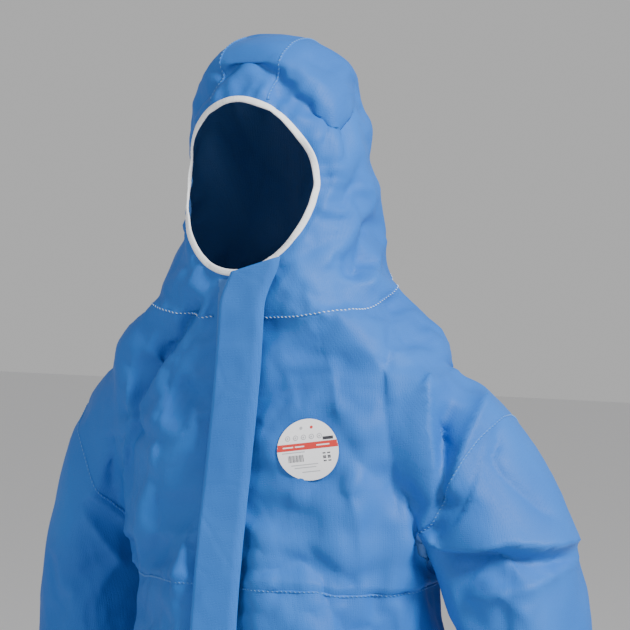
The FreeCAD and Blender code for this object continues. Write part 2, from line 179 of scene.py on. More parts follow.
def closed_tube(name: str, rings: np.ndarray) -> bpy.types.Object:
    """Joins rings of points into a closed tube with flat ends.

    Args:
        name: the object's name.
        rings: an array of rings, points and coordinates.

    Returns:
        The tube.
    """
    n, m = rings.shape[:2]
    faces = grid_faces(n, m, round_columns=True)
    faces += [tuple(range(m))[::-1], tuple((n - 1) * m + j for j in range(m))]
    return mesh_object(name, rings.reshape(-1, 3), faces)


@dataclass(frozen=True)
class ZipLine:
    """The straight line of the front zip, in the plane x = 0, and the gap that it closes."""
    top: tuple = (0.0, -0.1008, 0.030)
    bottom: tuple = (0.0, -0.157, -0.695)
    gap_half: float = 0.0095
    gap_top: float = 0.031

    @property
    def along(self) -> Vector:
        """Returns the direction from the crotch to the chin."""
        return (Vector(self.top) - Vector(self.bottom)).normalized()

    @property
    def out(self) -> Vector:
        """Returns the direction off the wearer's front."""
        return Vector((0.0, -self.along.z, self.along.y))

    @property
    def length(self) -> float:
        """Returns the zip's length."""
        return (Vector(self.top) - Vector(self.bottom)).length

    def depth(self, z: float) -> float:
        """Returns the line's y at a height."""
        share = (z - self.bottom[2]) / (self.top[2] - self.bottom[2])
        return self.bottom[1] + share * (self.top[1] - self.bottom[1])

    def place(self, x: float, out: float, height: float) -> Vector:
        """Returns a point beside the line, off it and up it."""
        return Vector(self.bottom) + self.along * height + self.out * out + Vector((x, 0, 0))


ZIP = ZipLine()
FAR = 9.0  # stands for a distance that is past everything


def front(z: float) -> float:
    """Returns the front of the trunk at a height, in millimetres."""
    return ZIP.depth(z / 1000) * 1000


@dataclass(frozen=True)
class Figure:
    """The suit's envelope: ovals up the trunk, along a sleeve and down a leg, in millimetres.

    A trunk row is a height, half a width, a front and a back. A sleeve row is a middle, a direction, a half
    width and a half depth. A leg row is a height, a middle, half a width, a front and a back.
    """
    trunk: tuple = ((-742, 120, -125, 86), (-735, 165, -146, 101), (-705, 194, front(-705), 112),
                    (-620, 197, front(-620), 117), (-520, 192, front(-520), 119), (-420, 183, front(-420), 128),
                    (-300, 169, front(-300), 126), (-215, 170, front(-215), 122), (-135, 180, front(-135), 122),
                    (-80, 184, front(-80), 118), (-45, 176, front(-45), 112), (-15, 156, front(-15), 105),
                    (12, 133, front(12), 100), (50, 111, front(50), 97), (90, 100, -103, 96),
                    (140, 91, -104, 97), (190, 86, -100, 96), (232, 73, -84, 84), (261, 53, -61, 62),
                    (276, 31, -35, 36), (280, 4, -4, 6))
    sleeve: tuple = ((112, 6, -102, 1.0, 0.0, -0.25, 58, 74), (166, 14, -122, 0.80, 0.08, -0.60, 60, 78),
                     (221, 24, -192, 0.40, 0.10, -0.91, 60, 80), (250, 26, -290, 0.18, 0.04, -0.98, 60, 81),
                     (258, 28, -365, 0.08, -0.12, -0.98, 62, 78), (269, 13, -480, 0.08, -0.32, -0.94, 59, 62),
                     (274, -32, -590, 0.02, -0.36, -0.93, 50, 51),
                     (274.5, -41.4, -614.2, 0.02, -0.36, -0.93, 34.4, 34.4),
                     (274.9, -47.9, -631, 0.02, -0.36, -0.93, 34.2, 34.2))
    leg: tuple = ((-660, 96, 80, -136, 98), (-705, 99, 93, -156, 111), (-745, 101, 93, -148, 109),
                  (-800, 104, 90, -134, 105), (-880, 109, 87, -116, 101), (-1030, 118, 82, -92, 92),
                  (-1230, 126, 76, -76, 84), (-1370, 131, 66, -60, 76), (-1396, 131, 49.8, -41.8, 57.8),
                  (-1416, 131, 49.6, -41.6, 57.6))
    power: float = 2.3

    def trunk_rings(self, grow: float = 0.0, around: int = 72) -> np.ndarray:
        """Returns the trunk's rings, grown outwards by grow millimetres."""
        rows = spline_rows(np.array(self.trunk, float), 130)
        angle = np.linspace(0, 2 * np.pi, around, endpoint=False)
        cx = np.sign(np.cos(angle)) * np.abs(np.cos(angle)) ** (2 / self.power)
        cy = np.sign(np.sin(angle)) * np.abs(np.sin(angle)) ** (2 / self.power)
        rings = [np.c_[cx * max(w + grow, 2), (f + b) / 2 + cy * max((b - f) / 2 + grow, 2), np.full(around, z)]
                 for z, w, f, b in rows]
        return np.array(rings) / 1000

    def sleeve_rings(self, side: float, grow: float = 0.0, around: int = 48) -> np.ndarray:
        """Returns a sleeve's rings on one side, grown outwards by grow millimetres."""
        rows = spline_rows(np.array(self.sleeve, float), 90)
        angle = np.linspace(0, 2 * np.pi, around, endpoint=False)
        rings = []
        for row in rows:
            along = row[3:6] / np.linalg.norm(row[3:6])
            across = np.cross(along, (0, 1, 0))
            across /= np.linalg.norm(across)
            deep = np.cross(across, along)
            points = row[:3] + np.outer(np.cos(angle), across) * (row[6] + grow)
            points = points + np.outer(np.sin(angle), deep) * (row[7] + grow)
            rings.append(points * (side, 1, 1))
        return np.array(rings)[:, ::int(side)] / 1000

    def leg_rings(self, side: float, grow: float = 0.0, around: int = 48) -> np.ndarray:
        """Returns a leg's rings on one side, grown outwards by grow millimetres."""
        rows = spline_rows(np.array(self.leg, float), 90)
        angle = np.linspace(0, 2 * np.pi, around, endpoint=False)
        rings = [np.c_[side * (m + np.cos(angle) * (w + grow)),
                       (f + b) / 2 + np.sin(angle) * ((b - f) / 2 + grow),
                       np.full(around, z)] for z, m, w, f, b in rows]
        return np.array(rings)[:, ::int(side)] / 1000


def union(name: str, parts: list, voxel: float) -> bpy.types.Object:
    """Joins closed meshes and remeshes them into one skin of even quads.

    Args:
        name: the object's name.
        parts: closed mesh objects, which are removed.
        voxel: size of a quad.

    Returns:
        The skin.
    """
    merged = bmesh.new()
    for part in parts:
        merged.from_mesh(part.data)
        bpy.data.objects.remove(part)
    mesh = bpy.data.meshes.new(name)
    bmesh.ops.recalc_face_normals(merged, faces=merged.faces)
    merged.to_mesh(mesh)
    merged.free()
    obj = bpy.data.objects.new(name, mesh)
    bpy.context.scene.collection.objects.link(obj)
    remesh = obj.modifiers.new("Remesh", "REMESH")
    remesh.mode = "VOXEL"
    remesh.voxel_size = voxel
    return applied(obj)


def applied(obj: bpy.types.Object) -> bpy.types.Object:
    """Applies an object's modifiers and shape keys.

    Args:
        obj: a mesh object.

    Returns:
        The same object with its evaluated mesh.
    """
    graph = bpy.context.evaluated_depsgraph_get()
    graph.update()
    mesh = bpy.data.meshes.new_from_object(obj.evaluated_get(graph))
    obj.modifiers.clear()
    if obj.data.shape_keys:
        obj.shape_key_clear()
    obj.data = mesh
    return obj


@dataclass(frozen=True)
class Opening:
    """The oval face opening."""
    middle_z: float = 0.125
    half_width: float = 0.077
    half_height: float = 0.089
    behind_y: float = -0.03

    def reach(self, points: np.ndarray) -> np.ndarray:
        """Returns each point's distance from the middle as a share of the oval, and FAR behind the front."""
        share = np.hypot(points[:, 0] / self.half_width, (points[:, 2] - self.middle_z) / self.half_height)
        return np.where(points[:, 1] < self.behind_y, share, FAR)


@dataclass
class Wearer:
    """The hidden body that the cloth settles on. Its slack under the envelope is in millimetres."""
    figure: Figure
    voxel: float = 0.014
    trunk_slack: float = 13.0
    sleeve_slack: float = 8.0
    leg_slack: float = 12.0

    def trunk(self) -> np.ndarray:
        """Returns the trunk's rings, drawn in at the waist and the hips."""
        rings = self.figure.trunk_rings(-self.trunk_slack)
        z = rings[:, :, 2]
        drawn = np.exp(-((z + 0.24) / 0.13) ** 2) * 0.10 + np.exp(-((z + 0.62) / 0.10) ** 2) * 0.03
        rings[:, :, 0] *= 1 - drawn
        rings[:, :, 1] *= 1 - 1.4 * drawn
        return rings

    def limb(self, name: str, rings: np.ndarray, depth: float, rise: tuple, fall: tuple) -> bpy.types.Object:
        """Returns a limb that is slimmer between its ends.

        Args:
            name: its name.
            rings: its rings.
            depth: how much slimmer, as a share.
            rise: the shares of its length between which it gets slimmer.
            fall: the shares between which it fills out again.

        Returns:
            The limb.
        """
        share = np.linspace(0, 1, len(rings))
        slim = 1 - depth * smooth_step(*rise, share) * (1 - smooth_step(*fall, share))
        middle = rings.mean(axis=1, keepdims=True)
        return closed_tube(name, middle + (rings - middle) * slim[:, None, None])

    def build(self) -> bpy.types.Object:
        """Returns the body as a collider."""
        parts = [closed_tube("trunk", self.trunk())]
        for side in SIDES.values():
            sleeve = self.figure.sleeve_rings(side, -self.sleeve_slack)
            parts.append(self.limb("arm", sleeve, 0.30, (0.12, 0.4), (0.8, 0.95)))
            leg = self.figure.leg_rings(side, -self.leg_slack)
            parts.append(self.limb("leg", leg, 0.16, (0.15, 0.4), (0.85, 0.97)))
        body = union("wearer", parts, self.voxel)
        body.modifiers.new("Collision", "COLLISION")
        body.collision.thickness_outer = 0.002
        body.collision.cloth_friction = 12.0
        return body


@dataclass(frozen=True)
class Fold:
    """A fold drawn as a line across a view of the suit, as (right, up) points in metres.

    A positive depth is a ridge and a negative one a valley. The two widths say how steeply the cloth falls
    away on the left and on the right of the line's direction.
    """
    line: tuple
    depth: float
    left: float = 0.014
    right: float = 0.014
    azimuth: float = 30.0
    gain: float = 1.5
    spread: float = 0.12

    def push(self, points: np.ndarray, normals: np.ndarray) -> np.ndarray:
        """Returns how far the fold moves each point along its normal."""
        a = math.radians(self.azimuth)
        seen = np.c_[points[:, 0] * math.cos(a) + points[:, 1] * math.sin(a), points[:, 2]]
        faces = smooth_step(-0.15, 0.35, normals[:, 0] * math.sin(a) - normals[:, 1] * math.cos(a))
        knots = spline_rows(np.array(self.line, float), 24)
        best, side, share = np.full(len(seen), FAR), np.ones(len(seen)), np.zeros(len(seen))
        for i, (start, end) in enumerate(zip(knots[:-1], knots[1:])):
            run = end - start
            t = np.clip((seen - start) @ run / (run @ run), 0, 1)
            off = seen - start - t[:, None] * run
            near = np.hypot(off[:, 0], off[:, 1])
            nearer = near < best
            best = np.where(nearer, near, best)
            side = np.where(nearer, run[0] * off[:, 1] - run[1] * off[:, 0], side)
            share = np.where(nearer, (i + t) / (len(knots) - 1), share)
        width = np.where(side > 0, self.left, self.right)
        ends = smooth_step(0.0, 0.18, share) * (1 - smooth_step(0.82, 1.0, share)) * 0.85 + 0.15
        return self.gain * self.depth * np.exp(-best / width) * ends * faces * (best < self.spread)


FOLDS = (
    # The wearer's left chest
    Fold(((0.045, -0.026), (0.061, -0.116), (0.073, -0.196), (0.080, -0.272)), 0.0060, 0.014, 0.026),
    Fold(((0.098, -0.039), (0.101, -0.084), (0.106, -0.129), (0.117, -0.219)), -0.0060, 0.016, 0.018),
    Fold(((0.113, 0.021), (0.116, -0.019), (0.106, -0.064)), -0.0070, 0.020, 0.022),
    Fold(((0.133, -0.049), (0.146, -0.081), (0.149, -0.129), (0.153, -0.169), (0.149, -0.229), (0.145, -0.264)),
         0.0110, 0.006, 0.030),
    Fold(((0.018, -0.229), (0.058, -0.261), (0.080, -0.283)), -0.0030, 0.005, 0.014),
    Fold(((0.000, -0.044), (0.015, -0.109), (0.010, -0.209)), 0.0030, 0.012, 0.012),
    # The left armhole and sleeve
    Fold(((0.173, -0.087), (0.161, -0.129), (0.155, -0.174), (0.158, -0.209)), -0.0150, 0.013, 0.015),
    Fold(((0.208, -0.081), (0.182, -0.129), (0.159, -0.194)), 0.0095, 0.032, 0.007),
    Fold(((0.142, -0.081), (0.185, -0.070), (0.210, -0.087)), 0.0060, 0.022, 0.006),
    Fold(((0.136, -0.019), (0.158, -0.039), (0.198, -0.055), (0.230, -0.089)), 0.0045, 0.020, 0.012),
    Fold(((0.208, -0.114), (0.218, -0.129), (0.214, -0.151), (0.251, -0.192), (0.270, -0.214)),
         -0.0040, 0.006, 0.012),
    Fold(((0.148, -0.216), (0.171, -0.234), (0.225, -0.230), (0.251, -0.235), (0.308, -0.238)),
         0.0140, 0.034, 0.004),
    Fold(((0.156, -0.237), (0.225, -0.242), (0.301, -0.251)), -0.0090, 0.006, 0.018),
    Fold(((0.178, -0.289), (0.238, -0.274), (0.310, -0.249)), 0.0060, 0.018, 0.008),
    Fold(((0.188, -0.255), (0.218, -0.279), (0.248, -0.307)), 0.0035, 0.012, 0.010),
    # The right shoulder, chest and sleeve
    Fold(((-0.059, 0.024), (-0.092, -0.016), (-0.125, -0.066), (-0.148, -0.109), (-0.149, -0.139)),
         0.0100, 0.040, 0.008),
    Fold(((-0.075, 0.018), (-0.115, -0.034), (-0.144, -0.076), (-0.156, -0.114), (-0.158, -0.154)),
         -0.0140, 0.012, 0.012),
    Fold(((-0.159, -0.061), (-0.162, -0.109), (-0.168, -0.156), (-0.164, -0.196), (-0.159, -0.237)),
         0.0080, 0.009, 0.010),
    Fold(((-0.170, -0.109), (-0.166, -0.134), (-0.179, -0.151)), -0.0045, 0.007, 0.007),
    Fold(((-0.220, -0.204), (-0.192, -0.229), (-0.162, -0.257)), 0.0070, 0.016, 0.010),
    Fold(((-0.192, -0.139), (-0.188, -0.164), (-0.190, -0.204)), -0.0060, 0.008, 0.008),
    Fold(((-0.226, -0.226), (-0.202, -0.266), (-0.176, -0.301)), 0.0050, 0.012, 0.008),
    Fold(((-0.097, -0.057), (-0.114, -0.094), (-0.142, -0.184)), 0.0050, 0.016, 0.014),
    Fold(((-0.095, -0.216), (-0.102, -0.259), (-0.110, -0.301)), 0.0040, 0.010, 0.006),
    Fold(((-0.124, -0.119), (-0.132, -0.189), (-0.136, -0.279)), -0.0035, 0.010, 0.010),
    # The hood
    Fold(((0.102, 0.151), (0.090, 0.106), (0.063, 0.066), (0.030, 0.034)), 0.0045, 0.010, 0.020),
    Fold(((0.092, 0.096), (0.082, 0.061), (0.075, 0.026)), -0.0070, 0.009, 0.012),
    Fold(((0.110, 0.076), (0.096, 0.049), (0.088, 0.016)), 0.0050, 0.012, 0.008),
    Fold(((0.070, 0.191), (0.080, 0.151), (0.078, 0.111)), 0.0025, 0.012, 0.012),
    Fold(((0.048, 0.053), (0.063, 0.049), (0.070, 0.031)), -0.0030, 0.006, 0.006),
    Fold(((-0.020, 0.251), (0.018, 0.241), (0.053, 0.216)), 0.0022, 0.010, 0.008),
    Fold(((0.018, 0.256), (0.063, 0.231), (0.086, 0.181)), -0.0020, 0.010, 0.010),
    # The back, drawn from behind
    Fold(((-0.08, 0.02), (-0.10, -0.1), (-0.06, -0.24)), 0.0060, 0.024, 0.018, 180.0),
    Fold(((0.09, 0.01), (0.11, -0.12), (0.07, -0.25)), 0.0060, 0.018, 0.024, 180.0),
    Fold(((-0.12, -0.3), (-0.05, -0.42), (0.00, -0.6)), 0.0050, 0.020, 0.024, 180.0),
    Fold(((0.13, -0.32), (0.06, -0.45), (0.02, -0.58)), 0.0050, 0.024, 0.018, 180.0),
    Fold(((-0.15, -0.1), (-0.17, -0.2), (-0.15, -0.27)), -0.0100, 0.014, 0.014, 180.0),
    Fold(((0.15, -0.1), (0.17, -0.2), (0.15, -0.27)), -0.0100, 0.014, 0.014, 180.0),
    Fold(((0.00, -0.03), (0.01, -0.14), (-0.01, -0.25)), -0.0050, 0.020, 0.020, 180.0),
    # The hips and legs, drawn from the front
    Fold(((-0.04, -0.3), (-0.07, -0.42), (-0.05, -0.58)), 0.0050, 0.018, 0.022, 0.0),
    Fold(((0.05, -0.31), (0.09, -0.45), (0.06, -0.6)), 0.0050, 0.022, 0.018, 0.0),
    Fold(((-0.03, -0.7), (-0.08, -0.67), (-0.16, -0.6)), 0.0070, 0.016, 0.010, 0.0),
    Fold(((0.03, -0.7), (0.08, -0.67), (0.16, -0.6)), 0.0070, 0.010, 0.016, 0.0),
    Fold(((-0.05, -0.76), (-0.10, -0.75), (-0.17, -0.7)), -0.0060, 0.012, 0.012, 0.0),
    Fold(((0.05, -0.76), (0.10, -0.74), (0.17, -0.69)), -0.0060, 0.012, 0.012, 0.0),
    Fold(((-0.07, -1), (-0.12, -1.03), (-0.18, -1.01)), 0.0080, 0.010, 0.024, 0.0),
    Fold(((0.07, -1.01), (0.12, -1.04), (0.18, -1)), 0.0080, 0.024, 0.010, 0.0),
    Fold(((-0.08, -1.08), (-0.13, -1.11), (-0.19, -1.07)), -0.0060, 0.014, 0.014, 0.0),
    Fold(((0.08, -1.07), (0.13, -1.11), (0.19, -1.08)), -0.0060, 0.014, 0.014, 0.0),
    Fold(((-0.08, -0.84), (-0.10, -0.94), (-0.13, -1)), 0.0050, 0.018, 0.018, 0.0),
    Fold(((0.08, -0.83), (0.11, -0.93), (0.13, -1)), 0.0050, 0.018, 0.018, 0.0),
    Fold(((-0.08, -1.18), (-0.11, -1.28), (-0.13, -1.36)), 0.0050, 0.018, 0.016, 0.0),
    Fold(((0.08, -1.17), (0.11, -1.27), (0.14, -1.36)), 0.0050, 0.016, 0.018, 0.0),
    Fold(((-0.08, -1.31), (-0.13, -1.34), (-0.19, -1.3)), 0.0070, 0.006, 0.018, 0.0),
    Fold(((0.08, -1.3), (0.13, -1.33), (0.19, -1.31)), 0.0070, 0.018, 0.006, 0.0),
    # The legs, drawn from behind
    Fold(((-0.07, -0.78), (-0.12, -0.81), (-0.19, -0.77)), -0.0070, 0.014, 0.014, 180.0),
    Fold(((0.07, -0.78), (0.12, -0.81), (0.19, -0.77)), -0.0070, 0.014, 0.014, 180.0),
    Fold(((-0.08, -1.02), (-0.13, -1.05), (-0.18, -1.02)), -0.0080, 0.012, 0.012, 180.0),
    Fold(((0.08, -1.02), (0.13, -1.05), (0.18, -1.02)), -0.0080, 0.012, 0.012, 180.0),
    Fold(((-0.10, -0.86), (-0.12, -0.94), (-0.10, -1)), 0.0050, 0.018, 0.018, 180.0),
    Fold(((0.10, -0.86), (0.12, -0.94), (0.10, -1)), 0.0050, 0.018, 0.018, 180.0),
    Fold(((-0.10, -1.12), (-0.14, -1.22), (-0.12, -1.34)), 0.0055, 0.018, 0.018, 180.0),
    Fold(((0.10, -1.12), (0.14, -1.22), (0.12, -1.34)), 0.0055, 0.018, 0.018, 180.0),
    # The forearms, drawn from the front
    Fold(((-0.22, -0.39), (-0.27, -0.42), (-0.33, -0.39)), 0.0070, 0.010, 0.020, 0.0),
    Fold(((0.22, -0.4), (0.27, -0.43), (0.33, -0.4)), 0.0070, 0.020, 0.010, 0.0),
    Fold(((-0.22, -0.5), (-0.27, -0.53), (-0.33, -0.49)), -0.0060, 0.012, 0.012, 0.0),
    Fold(((0.22, -0.49), (0.27, -0.53), (0.33, -0.5)), -0.0060, 0.012, 0.012, 0.0),
)


@dataclass
class Garment:
    """The suit's cloth as one mesh, settled by a simulation and then cut into panels."""
    figure: Figure
    opening: Opening
    voxel: float = 0.0085
    frames: int = 30
    looseness: float = 0.06
    waist_z: float = -0.282
    neck_z: float = -0.008
    neck_tilt: float = 13.0
    armhole: tuple = (0.174, -0.243, 26.5)
    gap_lean: float = 5.5
    crown_half: float = 0.034
    depth_limit: float = 0.118
    depth_soft: float = 0.018
    hand_x: float = 0.2
    hand_z: float = -0.72
    ankle: tuple = (0.131, 0.008)
    ankle_top: float = -1.396
    ankle_end: float = -1.416
    hem_z: float = -1.4145
    label_spot: tuple = (0.092, -0.139)
    cloth: bpy.types.Object = field(default=None, repr=False)
    points: np.ndarray = field(default=None, repr=False)
    normals: np.ndarray = field(default=None, repr=False)
    flat: np.ndarray = field(default=None, repr=False)
    loops: list = field(default=None, repr=False)
    tree: BVHTree = field(default=None, repr=False)

    # Where the seams run, as signed distances in the unworn shape

    def above_neck(self, p: np.ndarray) -> np.ndarray:
        """Returns the height over the neck seam's plane."""
        tilt = math.radians(self.neck_tilt)
        return (p[:, 1] - ZIP.depth(self.neck_z)) * -math.sin(tilt) + (p[:, 2] - self.neck_z) * math.cos(tilt)

    def neck_bend(self) -> tuple:
        """Returns the two points between which the cloth bends at the neck."""
        tilt = math.radians(self.neck_tilt)
        base = Vector((0.0, ZIP.depth(self.neck_z), self.neck_z))
        rise = Vector((0, -math.sin(tilt), math.cos(tilt)))
        return base + rise * 0.008, base + rise * 0.044

    def past_armhole(self, p: np.ndarray) -> np.ndarray:
        """Returns the distance past the nearer armhole seam, negative on the body."""
        x, z, tilt = self.armhole[0], self.armhole[1], math.radians(self.armhole[2])
        lean = math.radians(self.gap_lean)
        seam = (np.abs(p[:, 0]) - x) * math.cos(tilt) - (p[:, 2] - z) * math.sin(tilt)
        gap = (np.abs(p[:, 0]) - x) * math.cos(lean) + (p[:, 2] - z) * math.sin(lean)
        return np.minimum(seam, gap)

    def past_wrist(self, p: np.ndarray) -> np.ndarray:
        """Returns the distance past the end of the nearer wrist elastic."""
        end = np.array(self.figure.sleeve[-1][:3]) / 1000
        along = np.array(self.figure.sleeve[-1][3:6])
        along /= np.linalg.norm(along)
        near = np.c_[np.abs(p[:, 0]), p[:, 1:]]
        return np.where((near[:, 0] > self.hand_x) & (near[:, 2] > self.hand_z), (near - end) @ along, -1.0)

    def skin(self) -> bpy.types.Object:
        """Returns the envelope's skin with its openings cut."""
        parts = [closed_tube("trunk", self.figure.trunk_rings())]
        for side in SIDES.values():
            parts.append(closed_tube("sleeve", self.figure.sleeve_rings(side)))
            parts.append(closed_tube("leg", self.figure.leg_rings(side)))
        cloth = union("cloth", parts, self.voxel)
        points = coordinates(cloth.data)
        inside = self.opening.reach(points) < 0.97
        inside |= (points[:, 2] < -1.412) | (self.past_wrist(points) > -0.002)
        work = bmesh.new()
        work.from_mesh(cloth.data)
        work.verts.ensure_lookup_table()
        bmesh.ops.delete(work, geom=[work.verts[i] for i in np.flatnonzero(inside)], context="VERTS")
        axes = {"use_axis_" + axis: True for axis in "xyz"}
        bmesh.ops.smooth_vert(work, verts=work.verts, factor=0.5, **axes)
        for vert in work.verts:
            x, z = vert.co.x, vert.co.z - self.opening.middle_z
            share = math.hypot(x / self.opening.half_width, z / self.opening.half_height)
            if vert.is_boundary and vert.co.y < self.opening.behind_y and share < 1.3 and vert.co.z > -0.1:
                vert.co.x, vert.co.z = x / share, self.opening.middle_z + z / share
            elif vert.is_boundary and vert.co.z < -1.3:
                vert.co.z = self.hem_z
        work.to_mesh(cloth.data)
        work.free()
        return cloth

    def held(self, points: np.ndarray) -> np.ndarray:
        """Returns how firmly each point is held during the simulation, from 0 to 1."""
        placket = (np.abs(points[:, 0]) < 0.021) & (points[:, 1] < -0.05) & (points[:, 2] < 0.04)
        rim = self.opening.reach(points) < 1.09
        cuff = (self.past_wrist(points) > -0.024) | (points[:, 2] < -1.388)
        waist = 0.35 * np.exp(-((points[:, 2] - self.waist_z) / 0.006) ** 2) * (np.abs(points[:, 0]) < 0.2)
        return np.maximum(np.where(placket | rim | cuff, 1.0, 0.0), waist)

    def settle(self, wearer: bpy.types.Object) -> None:
        """Drapes the cloth on the wearer and keeps its unworn shape as the attribute "flat".

        Args:
            wearer: the collider; not used.
        """
        cloth = self.skin()
        flat = coordinates(cloth.data)
        weights = np.round(self.held(flat), 2)
        group = cloth.vertex_groups.new(name="held")
        for level in np.unique(weights[weights > 0]):
            group.add(np.flatnonzero(weights == level).tolist(), float(level), "REPLACE")
        cloth.shape_key_add(name="start")
        wide = cloth.shape_key_add(name="wide")
        near = 0.08 * np.exp(-((flat[:, 2] - self.waist_z) / 0.07) ** 2) * (np.abs(flat[:, 0]) < 0.19)
        roomy = flat * np.c_[1 + near, 1 + near, np.ones(len(flat))]
        wide.data.foreach_set("co", roomy.astype(np.float32).ravel())
        modifier = cloth.modifiers.new("Cloth", "CLOTH")
        settings = modifier.settings
        settings.quality = 5
        settings.mass = 0.12
        settings.effector_weights.gravity = 0.08
        settings.tension_stiffness = settings.compression_stiffness = 30.0
        settings.shear_stiffness = 10.0
        settings.bending_stiffness = 1.2
        settings.tension_damping = settings.compression_damping = 8.0
        settings.air_damping = 2.0
        settings.vertex_group_mass = "held"
        settings.pin_stiffness = 1.0
        settings.shrink_min = -self.looseness
        settings.rest_shape_key = wide
        modifier.collision_settings.distance_min = 0.003
        modifier.collision_settings.collision_quality = 2
        modifier.collision_settings.use_self_collision = False
        modifier.point_cache.frame_end = self.frames + 1
        for number in range(1, self.frames + 1):
            bpy.context.scene.frame_set(number)
        self.cloth = applied(cloth)
        self.cloth.vertex_groups.clear()
        bpy.context.scene.frame_set(1)
        store_flat(self.cloth.data, flat)

    def refine(self) -> None:
        """Subdivides the settled cloth, then adds gathers at the elastics and fine creases."""
        smooth = self.cloth.modifiers.new("Finer", "SUBSURF")
        smooth.levels = smooth.render_levels = 1
        self.cloth = applied(self.cloth)
        mesh = self.cloth.data
        self.flat = read_flat(mesh)
        self.points, self.normals = coordinates(mesh), vertex_normals(mesh)
        points = self.points + self.normals * (self.gathers() + self.creases())[:, None]
        y, room, soft = points[:, 1], self.depth_limit, self.depth_soft
        points[:, 1] = np.where(y > room, room + soft * np.tanh((y - room) / soft), y)
        set_coordinates(mesh, points)
        self.points, self.normals = points, vertex_normals(mesh).astype(float)
        self.loops = [tuple(p.vertices) for p in mesh.polygons]
        self.tree = BVHTree.FromPolygons([tuple(p) for p in points], self.loops)

    def gathers(self) -> np.ndarray:
        """Returns how far each point stands out in the small pleats beside the elastics."""
        p = self.flat
        angle = np.arctan2(p[:, 2] - self.opening.middle_z, p[:, 0])
        reach = self.opening.reach(p)
        wave = np.sin(34 * angle + 2.0 * np.sin(5 * angle)) * (0.7 + 0.3 * np.sin(11 * angle))
        fade = np.exp(-np.maximum(reach - 1.06, 0) / 0.14) * smooth_step(1.0, 1.07, reach) * (reach < 3)
        out = 0.0016 * wave * fade
        turn = np.arctan2(p[:, 1], p[:, 0])
        ripple = np.sin(46 * turn + 2.5 * np.sin(7 * turn)) * (0.6 + 0.4 * np.sin(9 * turn + 1))
        clear = smooth_step(0.03, 0.06, np.where(p[:, 1] < 0, np.abs(p[:, 0]), 1))
        clear *= self.past_armhole(p) < -0.01
        out += 0.0016 * ripple * np.exp(-np.abs(p[:, 2] - self.waist_z) / 0.016) * clear
        out += 0.0006 * np.sin(60 * turn) * np.exp(-np.abs(self.above_neck(p)) / 0.008) * clear
        end = np.array(self.figure.sleeve[-1][:3]) / 1000
        for side in SIDES.values():
            wrist = (end * (side, 1, 1), self.past_wrist(p))
            ankle = (np.array((side * self.ankle[0], self.ankle[1], 0)), self.ankle_end - p[:, 2])
            for centre, past in (wrist, ankle):
                near = (p[:, 0] * side > 0.02) & (past > -0.12)
                turn = np.arctan2(p[:, 1] - centre[1], p[:, 0] - centre[0])
                pleat = np.sin(26 * turn + 1.7 * np.sin(5 * turn))
                out += 0.0024 * pleat * np.exp(-np.abs(past + 0.036) / 0.02) * near
        return out

    def facets(self) -> np.ndarray:
        """Returns flat facets with crisp edges, where sets of straight creases cross in warped directions."""
        spread = np.random.default_rng(11)
        p = self.flat
        out = np.zeros(len(p))
        for _ in range(9):
            way = spread.normal(size=3) * (1.0, 1.0, 0.55)
            way /= np.linalg.norm(way)
            other, third = spread.normal(size=3), spread.normal(size=3)
            length = spread.uniform(0.10, 0.21)
            bend = 0.22 * np.sin(p @ other * 9.0 + spread.uniform(0, 6)) + 0.12 * np.sin(p @ third * 17.0)
            turn = (p @ way) / length + bend + spread.uniform(0, 1)
            cloud = np.sin(p @ third * 11.0 + spread.uniform(0, 6)) * np.sin(p @ other * 8.0 + 1.0)
            patch = smooth_step(-0.1, 0.8, cloud)
            out += length * 0.056 * (np.abs((turn % 1) * 2 - 1) - 0.5) * patch
        return out

    def creases(self) -> np.ndarray:
        """Returns the depth of sharp shallow creases, like those in stiff crumpled cloth."""
        out = np.zeros(len(self.flat))
        still = smooth_step(0.0, 0.03, self.opening.reach(self.flat) - 1.0)
        for scale, depth, seed in ((9.0, 0.0022, 3.1), (21.0, 0.0010, 8.7)):
            places = [Vector((x * scale + seed, y * scale - seed, z * scale * 0.6)) for x, y, z in self.flat]
            values = [abs(noise.noise(place)) for place in places]
            out += depth * (0.22 - np.array(values))
        out += self.facets()
        for fold in FOLDS:
            out += fold.push(self.points, self.normals)
        over = self.flat[:, 2] - self.waist_z
        body = self.past_armhole(self.flat) < -0.004
        out += 0.0065 * np.exp(-over / 0.040) * smooth_step(0.0, 0.006, over) * body
        x, y, z = self.flat.T
        placket = smooth_step(0.02, 0.045, np.where(y < 0, np.abs(x), 1))
        cuff = smooth_step(0.0, 0.04, -self.past_wrist(self.flat) - 0.02)
        cuff *= smooth_step(self.ankle_top, -1.36, z)
        label = np.hypot(x - self.label_spot[0], z - self.label_spot[1]) + np.where(y > 0, 1, 0)
        return out * still * placket * cuff * (0.15 + 0.85 * smooth_step(0.028, 0.050, label))

